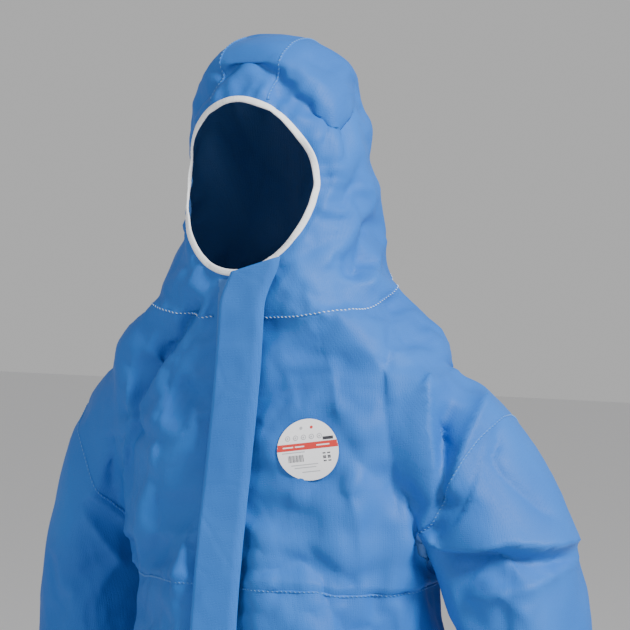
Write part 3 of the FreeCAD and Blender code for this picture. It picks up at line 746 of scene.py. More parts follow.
    def line(self, distance: np.ndarray, keep: np.ndarray) -> list:
        """Follows the line on the cloth where a signed distance is zero.

        Args:
            distance: one value per point.
            keep: True for the points whose faces are searched.

        Returns:
            Chains, longest first, each an array of points and an array of normals.
        """
        links, places = {}, {}
        for loop in self.loops:
            if not all(keep[i] for i in loop):
                continue
            cuts = []
            for a, b in zip(loop, loop[1:] + loop[:1]):
                if (distance[a] > 0) != (distance[b] > 0):
                    key = (min(a, b), max(a, b))
                    share = distance[key[0]] / (distance[key[0]] - distance[key[1]])
                    places[key] = share
                    cuts.append(key)
            if len(cuts) == 2:
                links.setdefault(cuts[0], []).append(cuts[1])
                links.setdefault(cuts[1], []).append(cuts[0])
        chains, left = [], set(links)
        while left:
            start = next((k for k in sorted(left) if len(links[k]) == 1), min(left))
            chain, here = [], start
            while here is not None:
                chain.append(here)
                left.discard(here)
                here = next((k for k in links[here] if k in left), None)
            if len(links[start]) == 2 and start in links[chain[-1]] and len(chain) > 2:
                chain.append(start)
            share = np.array([places[k] for k in chain])[:, None]
            a, b = np.array([k[0] for k in chain]), np.array([k[1] for k in chain])
            chains.append((self.points[a] * (1 - share) + self.points[b] * share,
                           self.normals[a] * (1 - share) + self.normals[b] * share))
        return sorted(chains, key=lambda c: -len(c[0]))

    def panel(self, name: str, faces: np.ndarray, finish: bpy.types.Material) -> bpy.types.Object:
        """Cuts a panel out of the cloth, shaded as if it were still whole.

        Args:
            name: the panel's name.
            faces: numbers of its faces.
            finish: its material.

        Returns:
            The panel.
        """
        loops = [self.loops[i] for i in faces]
        used = sorted({i for loop in loops for i in loop})
        number = {old: new for new, old in enumerate(used)}
        obj = mesh_object(name, self.points[used], [[number[i] for i in loop] for loop in loops])
        mesh = obj.data
        store_flat(mesh, self.flat[used])
        mesh.polygons.foreach_set("use_smooth", [True] * len(mesh.polygons))
        mesh.normals_split_custom_set_from_vertices([tuple(n) for n in self.normals[used]])
        mesh.materials.append(finish)
        return obj

    def surface(self, x: float, z: float) -> Vector:
        """Finds the point of the cloth's front at x across and height z."""
        return self.tree.ray_cast(Vector((x, -0.5, z)), Vector((0, 1, 0)))[0]


# Shaders


class Signal:
    """A shader socket that takes part in arithmetic."""

    def __init__(self, shader: "Shader", socket: bpy.types.NodeSocket) -> None:
        """Wraps a socket of a shader."""
        self.shader = shader
        self.socket = socket

    def maths(self, operation: str, *values: object) -> "Signal":
        """Returns a Math node's result on these values."""
        return self.shader.node("ShaderNodeMath", {"operation": operation}, dict(enumerate(values)))

    def __add__(self, other: object) -> "Signal":
        """Returns the sum."""
        return self.maths("ADD", self, other)

    def __radd__(self, other: object) -> "Signal":
        """Returns the sum."""
        return self.maths("ADD", other, self)

    def __mul__(self, other: object) -> "Signal":
        """Returns the product."""
        return self.maths("MULTIPLY", self, other)

    def __rmul__(self, other: object) -> "Signal":
        """Returns the product."""
        return self.maths("MULTIPLY", other, self)

    def smooth(self, low: float, high: float) -> "Signal":
        """Returns 0 below low, 1 above high and a smooth ramp between."""
        return self.shader.node("ShaderNodeMapRange", {"interpolation_type": "SMOOTHSTEP", "clamp": True},
                                {"Value": self, "From Min": low, "From Max": high})


class Shader:
    """A material under construction."""

    def __init__(self, name: str) -> None:
        """Starts a material with one Principled shader."""
        self.material = bpy.data.materials.new(name)
        self.material.use_nodes = True
        self.tree = self.material.node_tree
        self.surface = self.tree.nodes["Principled BSDF"]

    def node(self, kind: str, settings: dict, values: dict, output: object = 0) -> Signal:
        """Adds a node.

        Args:
            kind: the node's type.
            settings: its properties.
            values: its inputs, each a number, a tuple or a Signal.
            output: number or name of the output to return.

        Returns:
            The output.
        """
        made = self.tree.nodes.new(kind)
        for key, value in settings.items():
            setattr(made, key, value)
        for key, value in values.items():
            self.feed(made.inputs[key], value)
        return Signal(self, made.outputs[output])

    def feed(self, socket: bpy.types.NodeSocket, value: object) -> None:
        """Links a Signal to an input, or sets a constant."""
        if isinstance(value, Signal):
            self.tree.links.new(value.socket, socket)
        else:
            socket.default_value = value

    def mix(self, factor: object, first: object, second: object) -> Signal:
        """Returns a blend of two colours."""
        return self.node("ShaderNodeMix", {"data_type": "RGBA"}, {"Factor": factor, 6: first, 7: second}, 2)

    def noise(self, where: Signal, scale: float, detail: float = 2.0) -> Signal:
        """Returns fractal noise."""
        return self.node("ShaderNodeTexNoise", {}, {"Vector": where, "Scale": scale, "Detail": detail}, "Fac")

    def bump(self, height: Signal, distance: float, strength: float = 1.0) -> Signal:
        """Returns a normal bumped by a height."""
        return self.node("ShaderNodeBump", {}, {"Height": height, "Distance": distance, "Strength": strength})

    def finish(self, **values: object) -> bpy.types.Material:
        """Feeds the Principled shader, with underscores for spaces, and returns the material."""
        for key, value in values.items():
            self.feed(self.surface.inputs[key.replace("_", " ")], value)
        return self.material


def darker(color: tuple, share: float) -> tuple:
    """Returns a colour with its light cut to a share."""
    return tuple(c * share for c in color[:3]) + (1.0,)


@dataclass(frozen=True)
class ClothFinish:
    """Spunbond cloth: matt and slightly fibrous, with a fine grid of bond points and faint creases."""
    name: str = "blue cloth"
    color: tuple = (0.013, 0.115, 0.430, 1.0)
    light: tuple = (0.022, 0.150, 0.510, 1.0)
    inside: tuple = (0.06, 0.17, 0.42, 1.0)
    bond: float = 620.0

    def build(self) -> bpy.types.Material:
        """Returns the material."""
        s = Shader(self.name)
        where = s.node("ShaderNodeAttribute", {"attribute_name": "flat"}, {}, "Vector")
        cloud = s.noise(where, 7.0, 3.0)
        fibre = s.noise(where, 900.0, 2.0)
        base = s.mix(cloud.smooth(0.35, 0.7) * 0.7 + fibre * 0.3, self.color, self.light)
        back = s.node("ShaderNodeNewGeometry", {}, {}, "Backfacing")
        dots = s.node("ShaderNodeTexVoronoi", {"feature": "F1"},
                      {"Vector": where, "Scale": self.bond, "Randomness": 0.35})
        wander = s.node("ShaderNodeVectorMath", {"operation": "MULTIPLY_ADD"},
                        {0: s.node("ShaderNodeTexNoise", {}, {"Vector": where, "Scale": 9.0}, "Color"),
                         1: (0.05, 0.05, 0.05), 2: where})
        cracks = s.node("ShaderNodeTexVoronoi", {"feature": "DISTANCE_TO_EDGE"},
                        {"Vector": wander, "Scale": 15.0}, "Distance")
        normal = s.bump(dots.smooth(0.15, 0.5), 0.0003, 0.5)
        ridges = s.node("ShaderNodeBump", {}, {"Height": cracks.smooth(0.0, 0.09), "Distance": 0.0008,
                                               "Strength": 0.22, "Normal": normal})
        return s.finish(Base_Color=s.mix(back, base, self.inside), Roughness=0.52 + fibre * 0.16,
                        Normal=ridges, Specular_IOR_Level=0.28)


@dataclass(frozen=True)
class ThreadFinish:
    """Sewing thread."""
    name: str = "thread"
    color: tuple = (0.60, 0.74, 0.90, 1.0)

    def build(self) -> bpy.types.Material:
        """Returns the material."""
        s = Shader(self.name)
        where = s.node("ShaderNodeTexCoord", {}, {}, "Object")
        twist = s.noise(where, 1400.0)
        return s.finish(Base_Color=s.mix(twist, self.color, darker(self.color, 0.8)),
                        Roughness=0.7, Normal=s.bump(twist, 0.0002))


@dataclass(frozen=True)
class ElasticFinish:
    """Woven elastic with fine ribs."""
    name: str = "elastic"
    color: tuple = (0.86, 0.87, 0.88, 1.0)

    def build(self) -> bpy.types.Material:
        """Returns the material."""
        s = Shader(self.name)
        where = s.node("ShaderNodeTexCoord", {}, {}, "Object")
        rib = s.node("ShaderNodeTexWave", {"bands_direction": "DIAGONAL"},
                     {"Vector": where, "Scale": 380.0, "Distortion": 1.5})
        fuzz = s.noise(where, 700.0)
        return s.finish(Base_Color=s.mix(fuzz * 0.5, self.color, darker(self.color, 0.78)),
                        Roughness=0.8, Normal=s.bump(rib + fuzz, 0.0002, 0.6))


@dataclass(frozen=True)
class PlainFinish:
    """A printed, moulded or enamelled surface with a little wear."""
    name: str
    color: tuple
    roughness: float = 0.45
    metallic: float = 0.0

    def build(self) -> bpy.types.Material:
        """Returns the material."""
        s = Shader(self.name)
        wear = s.noise(s.node("ShaderNodeTexCoord", {}, {}, "Object"), 240.0, 3.0)
        return s.finish(Base_Color=s.mix(wear * 0.25, self.color, darker(self.color, 0.75)),
                        Roughness=wear * 0.12 + self.roughness, Metallic=self.metallic,
                        Normal=s.bump(wear, 0.0001, 0.3))


@dataclass(frozen=True)
class CoilFinish:
    """The zip's moulded coil, with its turns and painted shade in the grooves between them."""
    name: str = "zip coil"
    color: tuple = (0.05, 0.16, 0.45, 1.0)
    pitch: float = 0.0014

    def build(self) -> bpy.types.Material:
        """Returns the material."""
        s = Shader(self.name)
        where = s.node("ShaderNodeTexCoord", {}, {}, "Object")
        height = s.node("ShaderNodeSeparateXYZ", {}, {0: where}, "Z")
        turns = height * (2 * math.pi / self.pitch)
        wave = turns.maths("SINE", turns)
        # The darker colour in the grooves between the turns is painted shade.
        return s.finish(Base_Color=s.mix(wave.smooth(-1.0, 0.4), darker(self.color, 0.35), self.color),
                        Roughness=0.35, Normal=s.bump(wave, 0.0005))


class Ink(Enum):
    """The colours printed on the label."""
    PAPER = (0.83, 0.83, 0.85, 1.0)
    RED = (0.62, 0.035, 0.030, 1.0)
    DARK = (0.035, 0.035, 0.045, 1.0)
    GREY = (0.42, 0.43, 0.46, 1.0)


# Pieces


@dataclass
class Panels:
    """The cloth panels, cut along the seams and split at the elbows and the shins."""
    garment: Garment
    finish: bpy.types.Material
    side_y: float = 0.002
    shin_z: float = -0.93
    arm_z: float = -0.68
    elbow_row: int = 4

    def regions(self) -> dict:
        """Returns the faces of each panel."""
        g = self.garment
        middle = np.array([g.flat[list(loop)].mean(axis=0) for loop in g.loops])
        x, y, z = middle.T
        hood = g.above_neck(middle) > 0
        arm = ~hood & (g.past_armhole(middle) > 0) & (z > self.arm_z)
        body = ~hood & ~arm
        crown = hood & (np.abs(x) < g.crown_half) & ((z > g.opening.middle_z) | (y > 0))
        elbow = np.array(g.figure.sleeve[self.elbow_row][:3]) / 1000
        along = np.array(g.figure.sleeve[self.elbow_row][3:6])
        along /= np.linalg.norm(along)
        near = np.c_[np.abs(x), y, z]
        low = (near - elbow) @ along > -0.075
        shins = body & (z < self.shin_z)
        masks = {"crown_panel": crown, "back": body & (y > self.side_y) & (z > g.waist_z)}
        for name, sign in SIDES.items():
            side, front_half = x * sign > 0, y <= self.side_y
            masks["hood_side_" + name] = hood & ~crown & side
            masks["front_" + name] = body & front_half & (z > g.waist_z) & side
            masks["sleeve_top_" + name] = arm & ~low & side
            masks["sleeve_end_" + name] = arm & low & side
            trousers = body & (z <= g.waist_z) & ~shins & side
            masks["trouser_front_skin_" + name] = trousers & front_half
            masks["trouser_back_skin_" + name] = trousers & ~front_half
            masks["leg_" + name] = shins & side
        return {name: np.flatnonzero(mask) for name, mask in masks.items()}

    def placket_cut(self) -> None:
        """Opens the cloth over the zip, between its two tapes."""
        g = self.garment
        middle = np.array([g.flat[list(loop)].mean(axis=0) for loop in g.loops])
        x, y, z = middle.T
        over = (np.abs(x) < ZIP.gap_half) & (y < -0.06) & (z < ZIP.gap_top) & (z > ZIP.bottom[2])
        rim = np.zeros(len(g.points), dtype=bool)
        rim[[i for loop, cut in zip(g.loops, over) if cut for i in loop]] = True
        g.loops = [loop for loop, cut in zip(g.loops, over) if not cut]
        kept = np.zeros(len(g.points), dtype=bool)
        kept[[i for loop in g.loops for i in loop]] = True
        edge = rim & kept & (np.abs(g.points[:, 0]) > 0.004)
        g.points[edge, 0] = np.sign(g.points[edge, 0]) * ZIP.gap_half

    def build(self) -> dict:
        """Returns:
            The panels by name.
        """
        self.placket_cut()
        g, made = self.garment, {}
        for name, faces in self.regions().items():
            made[name] = g.panel(name, faces, self.finish)
        neck = g.neck_bend()
        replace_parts(made["crown_panel"], "hood_center_panel")
        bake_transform(made["crown_panel"])
        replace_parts(made["back"], "back_panel")
        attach(made["back"], "torso")
        for name, sign in SIDES.items():
            nodes = ["hood_side_panel_" + name] + (["neck_fold"] if name == "left" else [])
            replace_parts(made["hood_side_" + name], *nodes)
            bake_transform(made["hood_side_" + name])
            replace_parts(made["front_" + name], "chest_panel_" + name)
            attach(made["front_" + name], "torso")
            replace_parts(made["sleeve_top_" + name], "shoulder_fold_" + name, "upper_sleeve_" + name)
            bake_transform(made["sleeve_top_" + name])
            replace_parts(made["sleeve_end_" + name], "elbow_fold_" + name, "lower_sleeve_" + name)
            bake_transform(made["sleeve_end_" + name])
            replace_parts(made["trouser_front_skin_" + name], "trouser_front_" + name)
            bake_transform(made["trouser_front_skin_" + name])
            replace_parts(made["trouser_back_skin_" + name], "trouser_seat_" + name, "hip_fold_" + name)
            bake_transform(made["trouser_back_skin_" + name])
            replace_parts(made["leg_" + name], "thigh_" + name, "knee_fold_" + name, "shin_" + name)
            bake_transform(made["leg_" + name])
        return made


def even_line(points: np.ndarray, normals: np.ndarray, step: float) -> tuple:
    """Smooths a line on the cloth and divides it evenly.

    Args:
        points: its points.
        normals: the cloth's normals there.
        step: how far apart the new points are.

    Returns:
        The points, the normals and the directions along the line.
    """
    p, n = points.copy(), normals.copy()
    closed = np.linalg.norm(p[0] - p[-1]) < 1e-6
    for _ in range(3):
        if closed:
            ring, rim = p[:-1], n[:-1]
            ring = (np.roll(ring, 1, 0) + 2 * ring + np.roll(ring, -1, 0)) / 4
            rim = (np.roll(rim, 1, 0) + 2 * rim + np.roll(rim, -1, 0)) / 4
            p, n = np.vstack([ring, ring[:1]]), np.vstack([rim, rim[:1]])
        else:
            p[1:-1] = (p[:-2] + 2 * p[1:-1] + p[2:]) / 4
            n[1:-1] = (n[:-2] + 2 * n[1:-1] + n[2:]) / 4
    length = np.r_[0, np.cumsum(np.linalg.norm(np.diff(p, axis=0), axis=1))]
    at = np.linspace(0, length[-1], max(int(length[-1] / step), 4))
    p = np.c_[[np.interp(at, length, p[:, k]) for k in range(3)]].T
    n = np.c_[[np.interp(at, length, n[:, k]) for k in range(3)]].T
    n /= np.linalg.norm(n, axis=1)[:, None]
    along = np.gradient(p, axis=0)
    along /= np.linalg.norm(along, axis=1)[:, None] + 1e-12
    return p, n, along


@dataclass
class Seam:
    """A raised seam with its stitches along a line on the cloth."""
    name: str
    points: np.ndarray
    normals: np.ndarray
    cloth: bpy.types.Material
    thread: bpy.types.Material
    width: float = 0.0034
    height: float = 0.0009
    pitch: float = 0.0046
    stitch: tuple = (0.0030, 0.0009, 0.0007)
    slant: float = 0.5

    def build(self) -> bpy.types.Object:
        """Returns the seam as one mesh: a low ridge and a row of stitches."""
        p, n, along = even_line(self.points, self.normals, self.pitch / 2)
        across = np.cross(along, n)
        across /= np.linalg.norm(across, axis=1)[:, None] + 1e-12
        profile = [(-0.5, -0.25), (-0.34, 0.55), (0.0, 1.0), (0.34, 0.55), (0.5, -0.25)]
        verts = [p + across * (u * self.width) + n * (h * self.height) for u, h in profile]
        count, wide = len(p), len(profile)
        verts = np.stack(verts, axis=1).reshape(-1, 3)
        faces = grid_faces(count, wide)
        ridge = len(faces)
        length, thick, high = self.stitch
        shape = [(-0.5, 0, 0), (-0.25, 0.5, 0), (-0.25, 0, 1), (-0.25, -0.5, 0),
                 (0.25, 0.5, 0), (0.25, 0, 1), (0.25, -0.5, 0), (0.5, 0, 0)]
        quads = [(0, 1, 2), (0, 2, 3), (1, 4, 5, 2), (2, 5, 6, 3), (4, 7, 5), (5, 7, 6)]
        stitches = []
        for i in range(1, count - 1, 2):
            main = along[i] * math.cos(self.slant) + across[i] * math.sin(self.slant)
            side = np.cross(n[i], main)
            start = len(verts) + len(stitches)
            stitches += [p[i] + n[i] * (self.height * 0.8 + h * high) + main * (u * length) + side * (v * thick)
                         for u, v, h in shape]
            faces += [tuple(start + k for k in quad) for quad in quads]
        obj = mesh_object(self.name, np.vstack([verts, stitches]), faces)
        obj.data.materials.append(self.cloth)
        obj.data.materials.append(self.thread)
        obj.data.polygons.foreach_set("material_index", [0] * ridge + [1] * (len(faces) - ridge))
        obj.data.polygons.foreach_set("use_smooth", [True] * len(faces))
        return obj


@dataclass
class Seams:
    """The seams between the panels."""
    garment: Garment
    cloth: bpy.types.Material
    thread: bpy.types.Material
    bright: bpy.types.Material

    def make(self, name: str, chain: tuple, bright: bool, *nodes: str) -> bpy.types.Object:
        """Builds one seam that stands for CAD nodes.

        Args:
            name: its name.
            chain: its points and normals.
            bright: True for the light thread that shows.
            nodes: the CAD nodes it replaces.

        Returns:
            The seam.
        """
        obj = Seam(name, *chain, self.cloth, self.bright if bright else self.thread).build()
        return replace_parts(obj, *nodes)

    def build(self) -> None:
        """Makes the seams at the neck, hood, armholes, waist and crotch."""
        g, p = self.garment, self.garment.flat
        x, y, z = p.T
        off_flap = (np.abs(x) > 0.024) | (y > 0)
        neck, arm = g.above_neck(p), g.past_armhole(p)
        ring = g.line(neck, (np.abs(neck) < 0.03) & off_flap)[0]
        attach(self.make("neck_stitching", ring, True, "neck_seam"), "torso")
        belt = g.line(z - g.waist_z, (arm < -0.004) & (np.abs(z - g.waist_z) < 0.02) & off_flap)[0]
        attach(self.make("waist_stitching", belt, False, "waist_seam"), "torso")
        crotch = g.line(x, (z < -0.690) & (np.abs(x) < 0.02) & (z > -0.80))[0]
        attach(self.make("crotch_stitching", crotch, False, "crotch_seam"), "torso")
        crown = (neck > 0.004) & (g.opening.reach(p) > 1.06) & ((z > g.opening.middle_z) | (y > 0))
        for name, sign in SIDES.items():
            edge = g.line(x * sign - g.crown_half, crown)[0]
            hood = self.make("hood_stitching_" + name, edge, False, "hood_seam_" + name)
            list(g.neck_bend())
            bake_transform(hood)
            near = (np.abs(arm) < 0.03) & (x * sign > 0) & (z > -0.26) & (neck < 0)
            edge = g.line(arm, near)[0]
            armhole = self.make("armhole_stitching_" + name, edge, False, "armhole_seam_" + name)
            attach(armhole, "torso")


@dataclass
class Elastics:
    """The elastic round the face, the wrists, the ankles and inside the waist."""
    garment: Garment
    finish: bpy.types.Material
    face_width: float = 0.0072
    face_thick: float = 0.0026
    inset: float = 0.0022
    wrist_radius: float = 0.034
    wrist_length: float = 0.018
    ankle_radius: float = 0.050
    ankle_length: float = 0.020
    ankle_z: float = -1.3961
    band_thick: float = 0.0030
    around: int = 10

    def face(self) -> bpy.types.Object:
        """Returns the binding that follows the face opening."""
        g = self.garment
        reach = g.opening.reach(g.flat)
        points, normals = g.line(reach - 1.02, reach < 1.3)[0]
        p, n, along = even_line(points, normals, 0.0015)
        p, n, along = p[:-1], n[:-1], along[:-1]
        for _ in range(4):
            n = (np.roll(n, 1, 0) + n + np.roll(n, -1, 0)) / 3
        n /= np.linalg.norm(n, axis=1)[:, None]
        across = np.cross(along, n)
        middle = np.array((0, p[:, 1].mean(), g.opening.middle_z))
        across *= np.sign(np.einsum("ij,ij->i", across, p - middle))[:, None]
        count = len(p)
        wave = 1 + 0.10 * np.sin(np.arange(count) * 2.1) + 0.06 * np.sin(np.arange(count) * 0.77)
        turn = np.linspace(0, 2 * math.pi, self.around, endpoint=False)
        rings = []
        for a in turn:
            wide = self.squarish(math.cos(a)) * self.face_width / 2
            thick = (self.squarish(math.sin(a)) * self.face_thick / 2 * wave)[:, None]
            rings.append(p - across * self.inset + across * wide + n * (thick + 0.0008))
        verts = np.stack(rings, axis=1).reshape(-1, 3)
        return self.shown("face_binding", verts, grid_faces(count, self.around, True, True))

    @staticmethod
    def squarish(value: float) -> float:
        """Returns a sine or cosine pushed outwards, which makes a round section squarer."""
        return np.sign(value) * np.abs(value) ** 0.7

    def shown(self, name: str, verts: np.ndarray, faces: list) -> bpy.types.Object:
        """Returns a smooth mesh with the elastic's finish."""
        obj = mesh_object(name, verts, faces)
        obj.data.polygons.foreach_set("use_smooth", [True] * len(faces))
        obj.data.materials.append(self.finish)
        return obj

    def band(self, name: str, start: Vector, along: Vector, radius: float, length: float) -> bpy.types.Object:
        """Returns a gathered round band.

        Args:
            name: its name.
            start: the middle of its first end.
            along: the way it runs.
            radius: its inner radius.
            length: how long it is.

        Returns:
            The band.
        """
        side = along.cross(Vector((0, 1, 0))).normalized() if abs(along.y) < 0.9 else Vector((1, 0, 0))
        up = side.cross(along)
        around = 180
        profile = [(0.0, 0.15), (0.0, 0.85), (0.06, 1.0), (0.5, 1.1), (0.94, 1.0),
                   (1.0, 0.85), (1.0, 0.15), (0.9, 0.0), (0.1, 0.0)]
        verts = []
        for i in range(around):
            a = 2 * math.pi * i / around
            ruffle = 0.0007 * math.sin(43 * a + 1.5 * math.sin(5 * a)) + 0.0002 * math.sin(19 * a)
            radial = side * math.cos(a) + up * math.sin(a)
            for u, h in profile:
                out = radius + 0.0003 + h * self.band_thick + (ruffle if h > 0.5 else 0)
                verts.append(start + along * (u * length) + radial * out)
        faces = grid_faces(around, len(profile), True, True)
        return self.shown(name, np.array([tuple(v) for v in verts]), faces)

    def waist(self) -> bpy.types.Object:
        """Returns the elastic sewn inside the waist."""
        g, p = self.garment, self.garment.flat
        over = p[:, 2] - g.waist_z
        clear = (np.abs(p[:, 0]) > 0.055) | (p[:, 1] > 0)
        points, normals = g.line(over, (g.past_armhole(p) < -0.004) & (np.abs(over) < 0.02) & clear)[0]
        p, n, _ = even_line(points, normals, 0.003)
        rows = [p - n * 0.0035 + np.array((0, 0, z)) for z in (0.006, 0.0, -0.006)]
        rows += [row - n * 0.0012 for row in rows[::-1]]
        verts = np.stack(rows, axis=1).reshape(-1, 3)
        return self.shown("waist_band", verts, grid_faces(len(p), len(rows), round_columns=True))

    def build(self) -> None:
        """Makes every elastic and fixes it to its body."""
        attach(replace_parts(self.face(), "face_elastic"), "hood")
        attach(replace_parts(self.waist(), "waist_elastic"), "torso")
        row = self.garment.figure.sleeve[-2]
        for name, sign in SIDES.items():
            along = Vector((sign * row[3], row[4], row[5])).normalized()
            start = Vector((sign * row[0], row[1], row[2])) / 1000
            wrist = self.band("wrist_band_" + name, start, along, self.wrist_radius, self.wrist_length)
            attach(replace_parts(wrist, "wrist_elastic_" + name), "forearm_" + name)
            x, y = self.garment.ankle
            ankle = self.band("ankle_band_" + name, Vector((sign * x, y, self.ankle_z)), Vector((0, 0, -1)),
                              self.ankle_radius, self.ankle_length)
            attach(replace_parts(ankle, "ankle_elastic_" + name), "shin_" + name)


@dataclass
class StormFlap:
    """The flap over the zip, sewn at the wearer's right and loose at the left."""
    garment: Garment
    # The flap's finish is the suit's cloth painted lighter, as painted light.
    finish: bpy.types.Material
    thread: bpy.types.Material
    half: float = 0.029
    stand: float = 0.0105
    below: float = 0.005
    above: float = 0.006
    slant: float = 0.018
    thick: float = 0.0009
    clear: float = 0.0012
    lowest: float = 0.0008
    crotch_z: float = -0.70

    def drift(self, height: float) -> float:
        """Returns how far the loose cloth has pulled the flap sideways at a height up the zip."""
        waist = 0.005 * smooth_step(0.0, 0.36, np.array(height))
        chest = 0.020 * smooth_step(0.34, 0.72, np.array(height))
        chin = 0.016 * smooth_step(0.70, 0.75, np.array(height))
        return float(chest + chin - waist)

    def profile(self, x: float) -> float:
        """Returns how far the flap stands off the zip at x."""
        rise = min(max((x + self.half) / 0.008, 0.0), 1.0)
        fall = min(max((self.half - x) / 0.010, 0.0), 1.0)
        share = math.sin(rise * math.pi / 2) * (0.72 + 0.28 * math.sin(fall * math.pi / 2))
        return self.lowest + (self.stand - self.lowest) * share

    def grid(self, xs: np.ndarray, heights: np.ndarray) -> np.ndarray:
        """Returns the flap's points over a grid, kept clear of the cloth under it."""
        rows = []
        for share in heights:
            row = []
            for x in xs:
                top = ZIP.length + self.above + self.slant * (x + self.half) / (2 * self.half)
                height = -self.below + share * (top + self.below)
                wave = noise.noise(Vector((x * 14 + 5, height * 11, 2.0))) * 0.0022
                wave += abs(noise.noise(Vector((x * 30, height * 26, 7.0)))) * -0.0016 + 0.0004
                fade = math.sin(min(max((x + self.half) / 0.010, 0.0), 1.0) * math.pi / 2)
                side = x + self.drift(height)
                point = ZIP.place(side, self.profile(x) + wave * fade, height)
                over_cloth = abs(side) > ZIP.gap_half or point.z > ZIP.gap_top
                if point.z >= self.crotch_z and over_cloth:
                    under = self.garment.surface(side, point.z)
                    if under is not None and under.y < point.y + self.clear:
                        point.y = under.y - self.clear
                row.append(point)
            rows.append(row)
        return np.array([[tuple(p) for p in row] for row in rows])

    def build(self) -> bpy.types.Object:
        """Returns the flap with its row of stitches."""
        xs = self.half * np.sin(np.linspace(-math.pi / 2, math.pi / 2, 31))
        points = self.grid(xs, np.linspace(0, 1, 200))
        for _ in range(2):
            points[1:-1] = (points[:-2] + 2 * points[1:-1] + points[2:]) / 4
        n, m = points.shape[:2]
        faces = grid_faces(n, m)
        flap = mesh_object("front_flap", points.reshape(-1, 3), faces)
        store_flat(flap.data, points)
        flap.data.materials.append(self.finish)
        flap.data.polygons.foreach_set("use_smooth", [True] * len(faces))
        solid = flap.modifiers.new("Thickness", "SOLIDIFY")
        solid.thickness = self.thick
        solid.offset = 1.0
        flap = applied(flap)
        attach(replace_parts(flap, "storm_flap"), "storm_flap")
        row = points[:, 7]
        out = np.tile(np.array(tuple(ZIP.out)), (len(row), 1))
        stitching = Seam("flap_stitching", row[2:-2], out[2:-2], self.finish, self.thread, width=0.0016,
                         height=0.0002, slant=0.0, stitch=(0.0028, 0.0007, 0.0004)).build()
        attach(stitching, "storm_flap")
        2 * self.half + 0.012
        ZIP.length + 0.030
        return flap


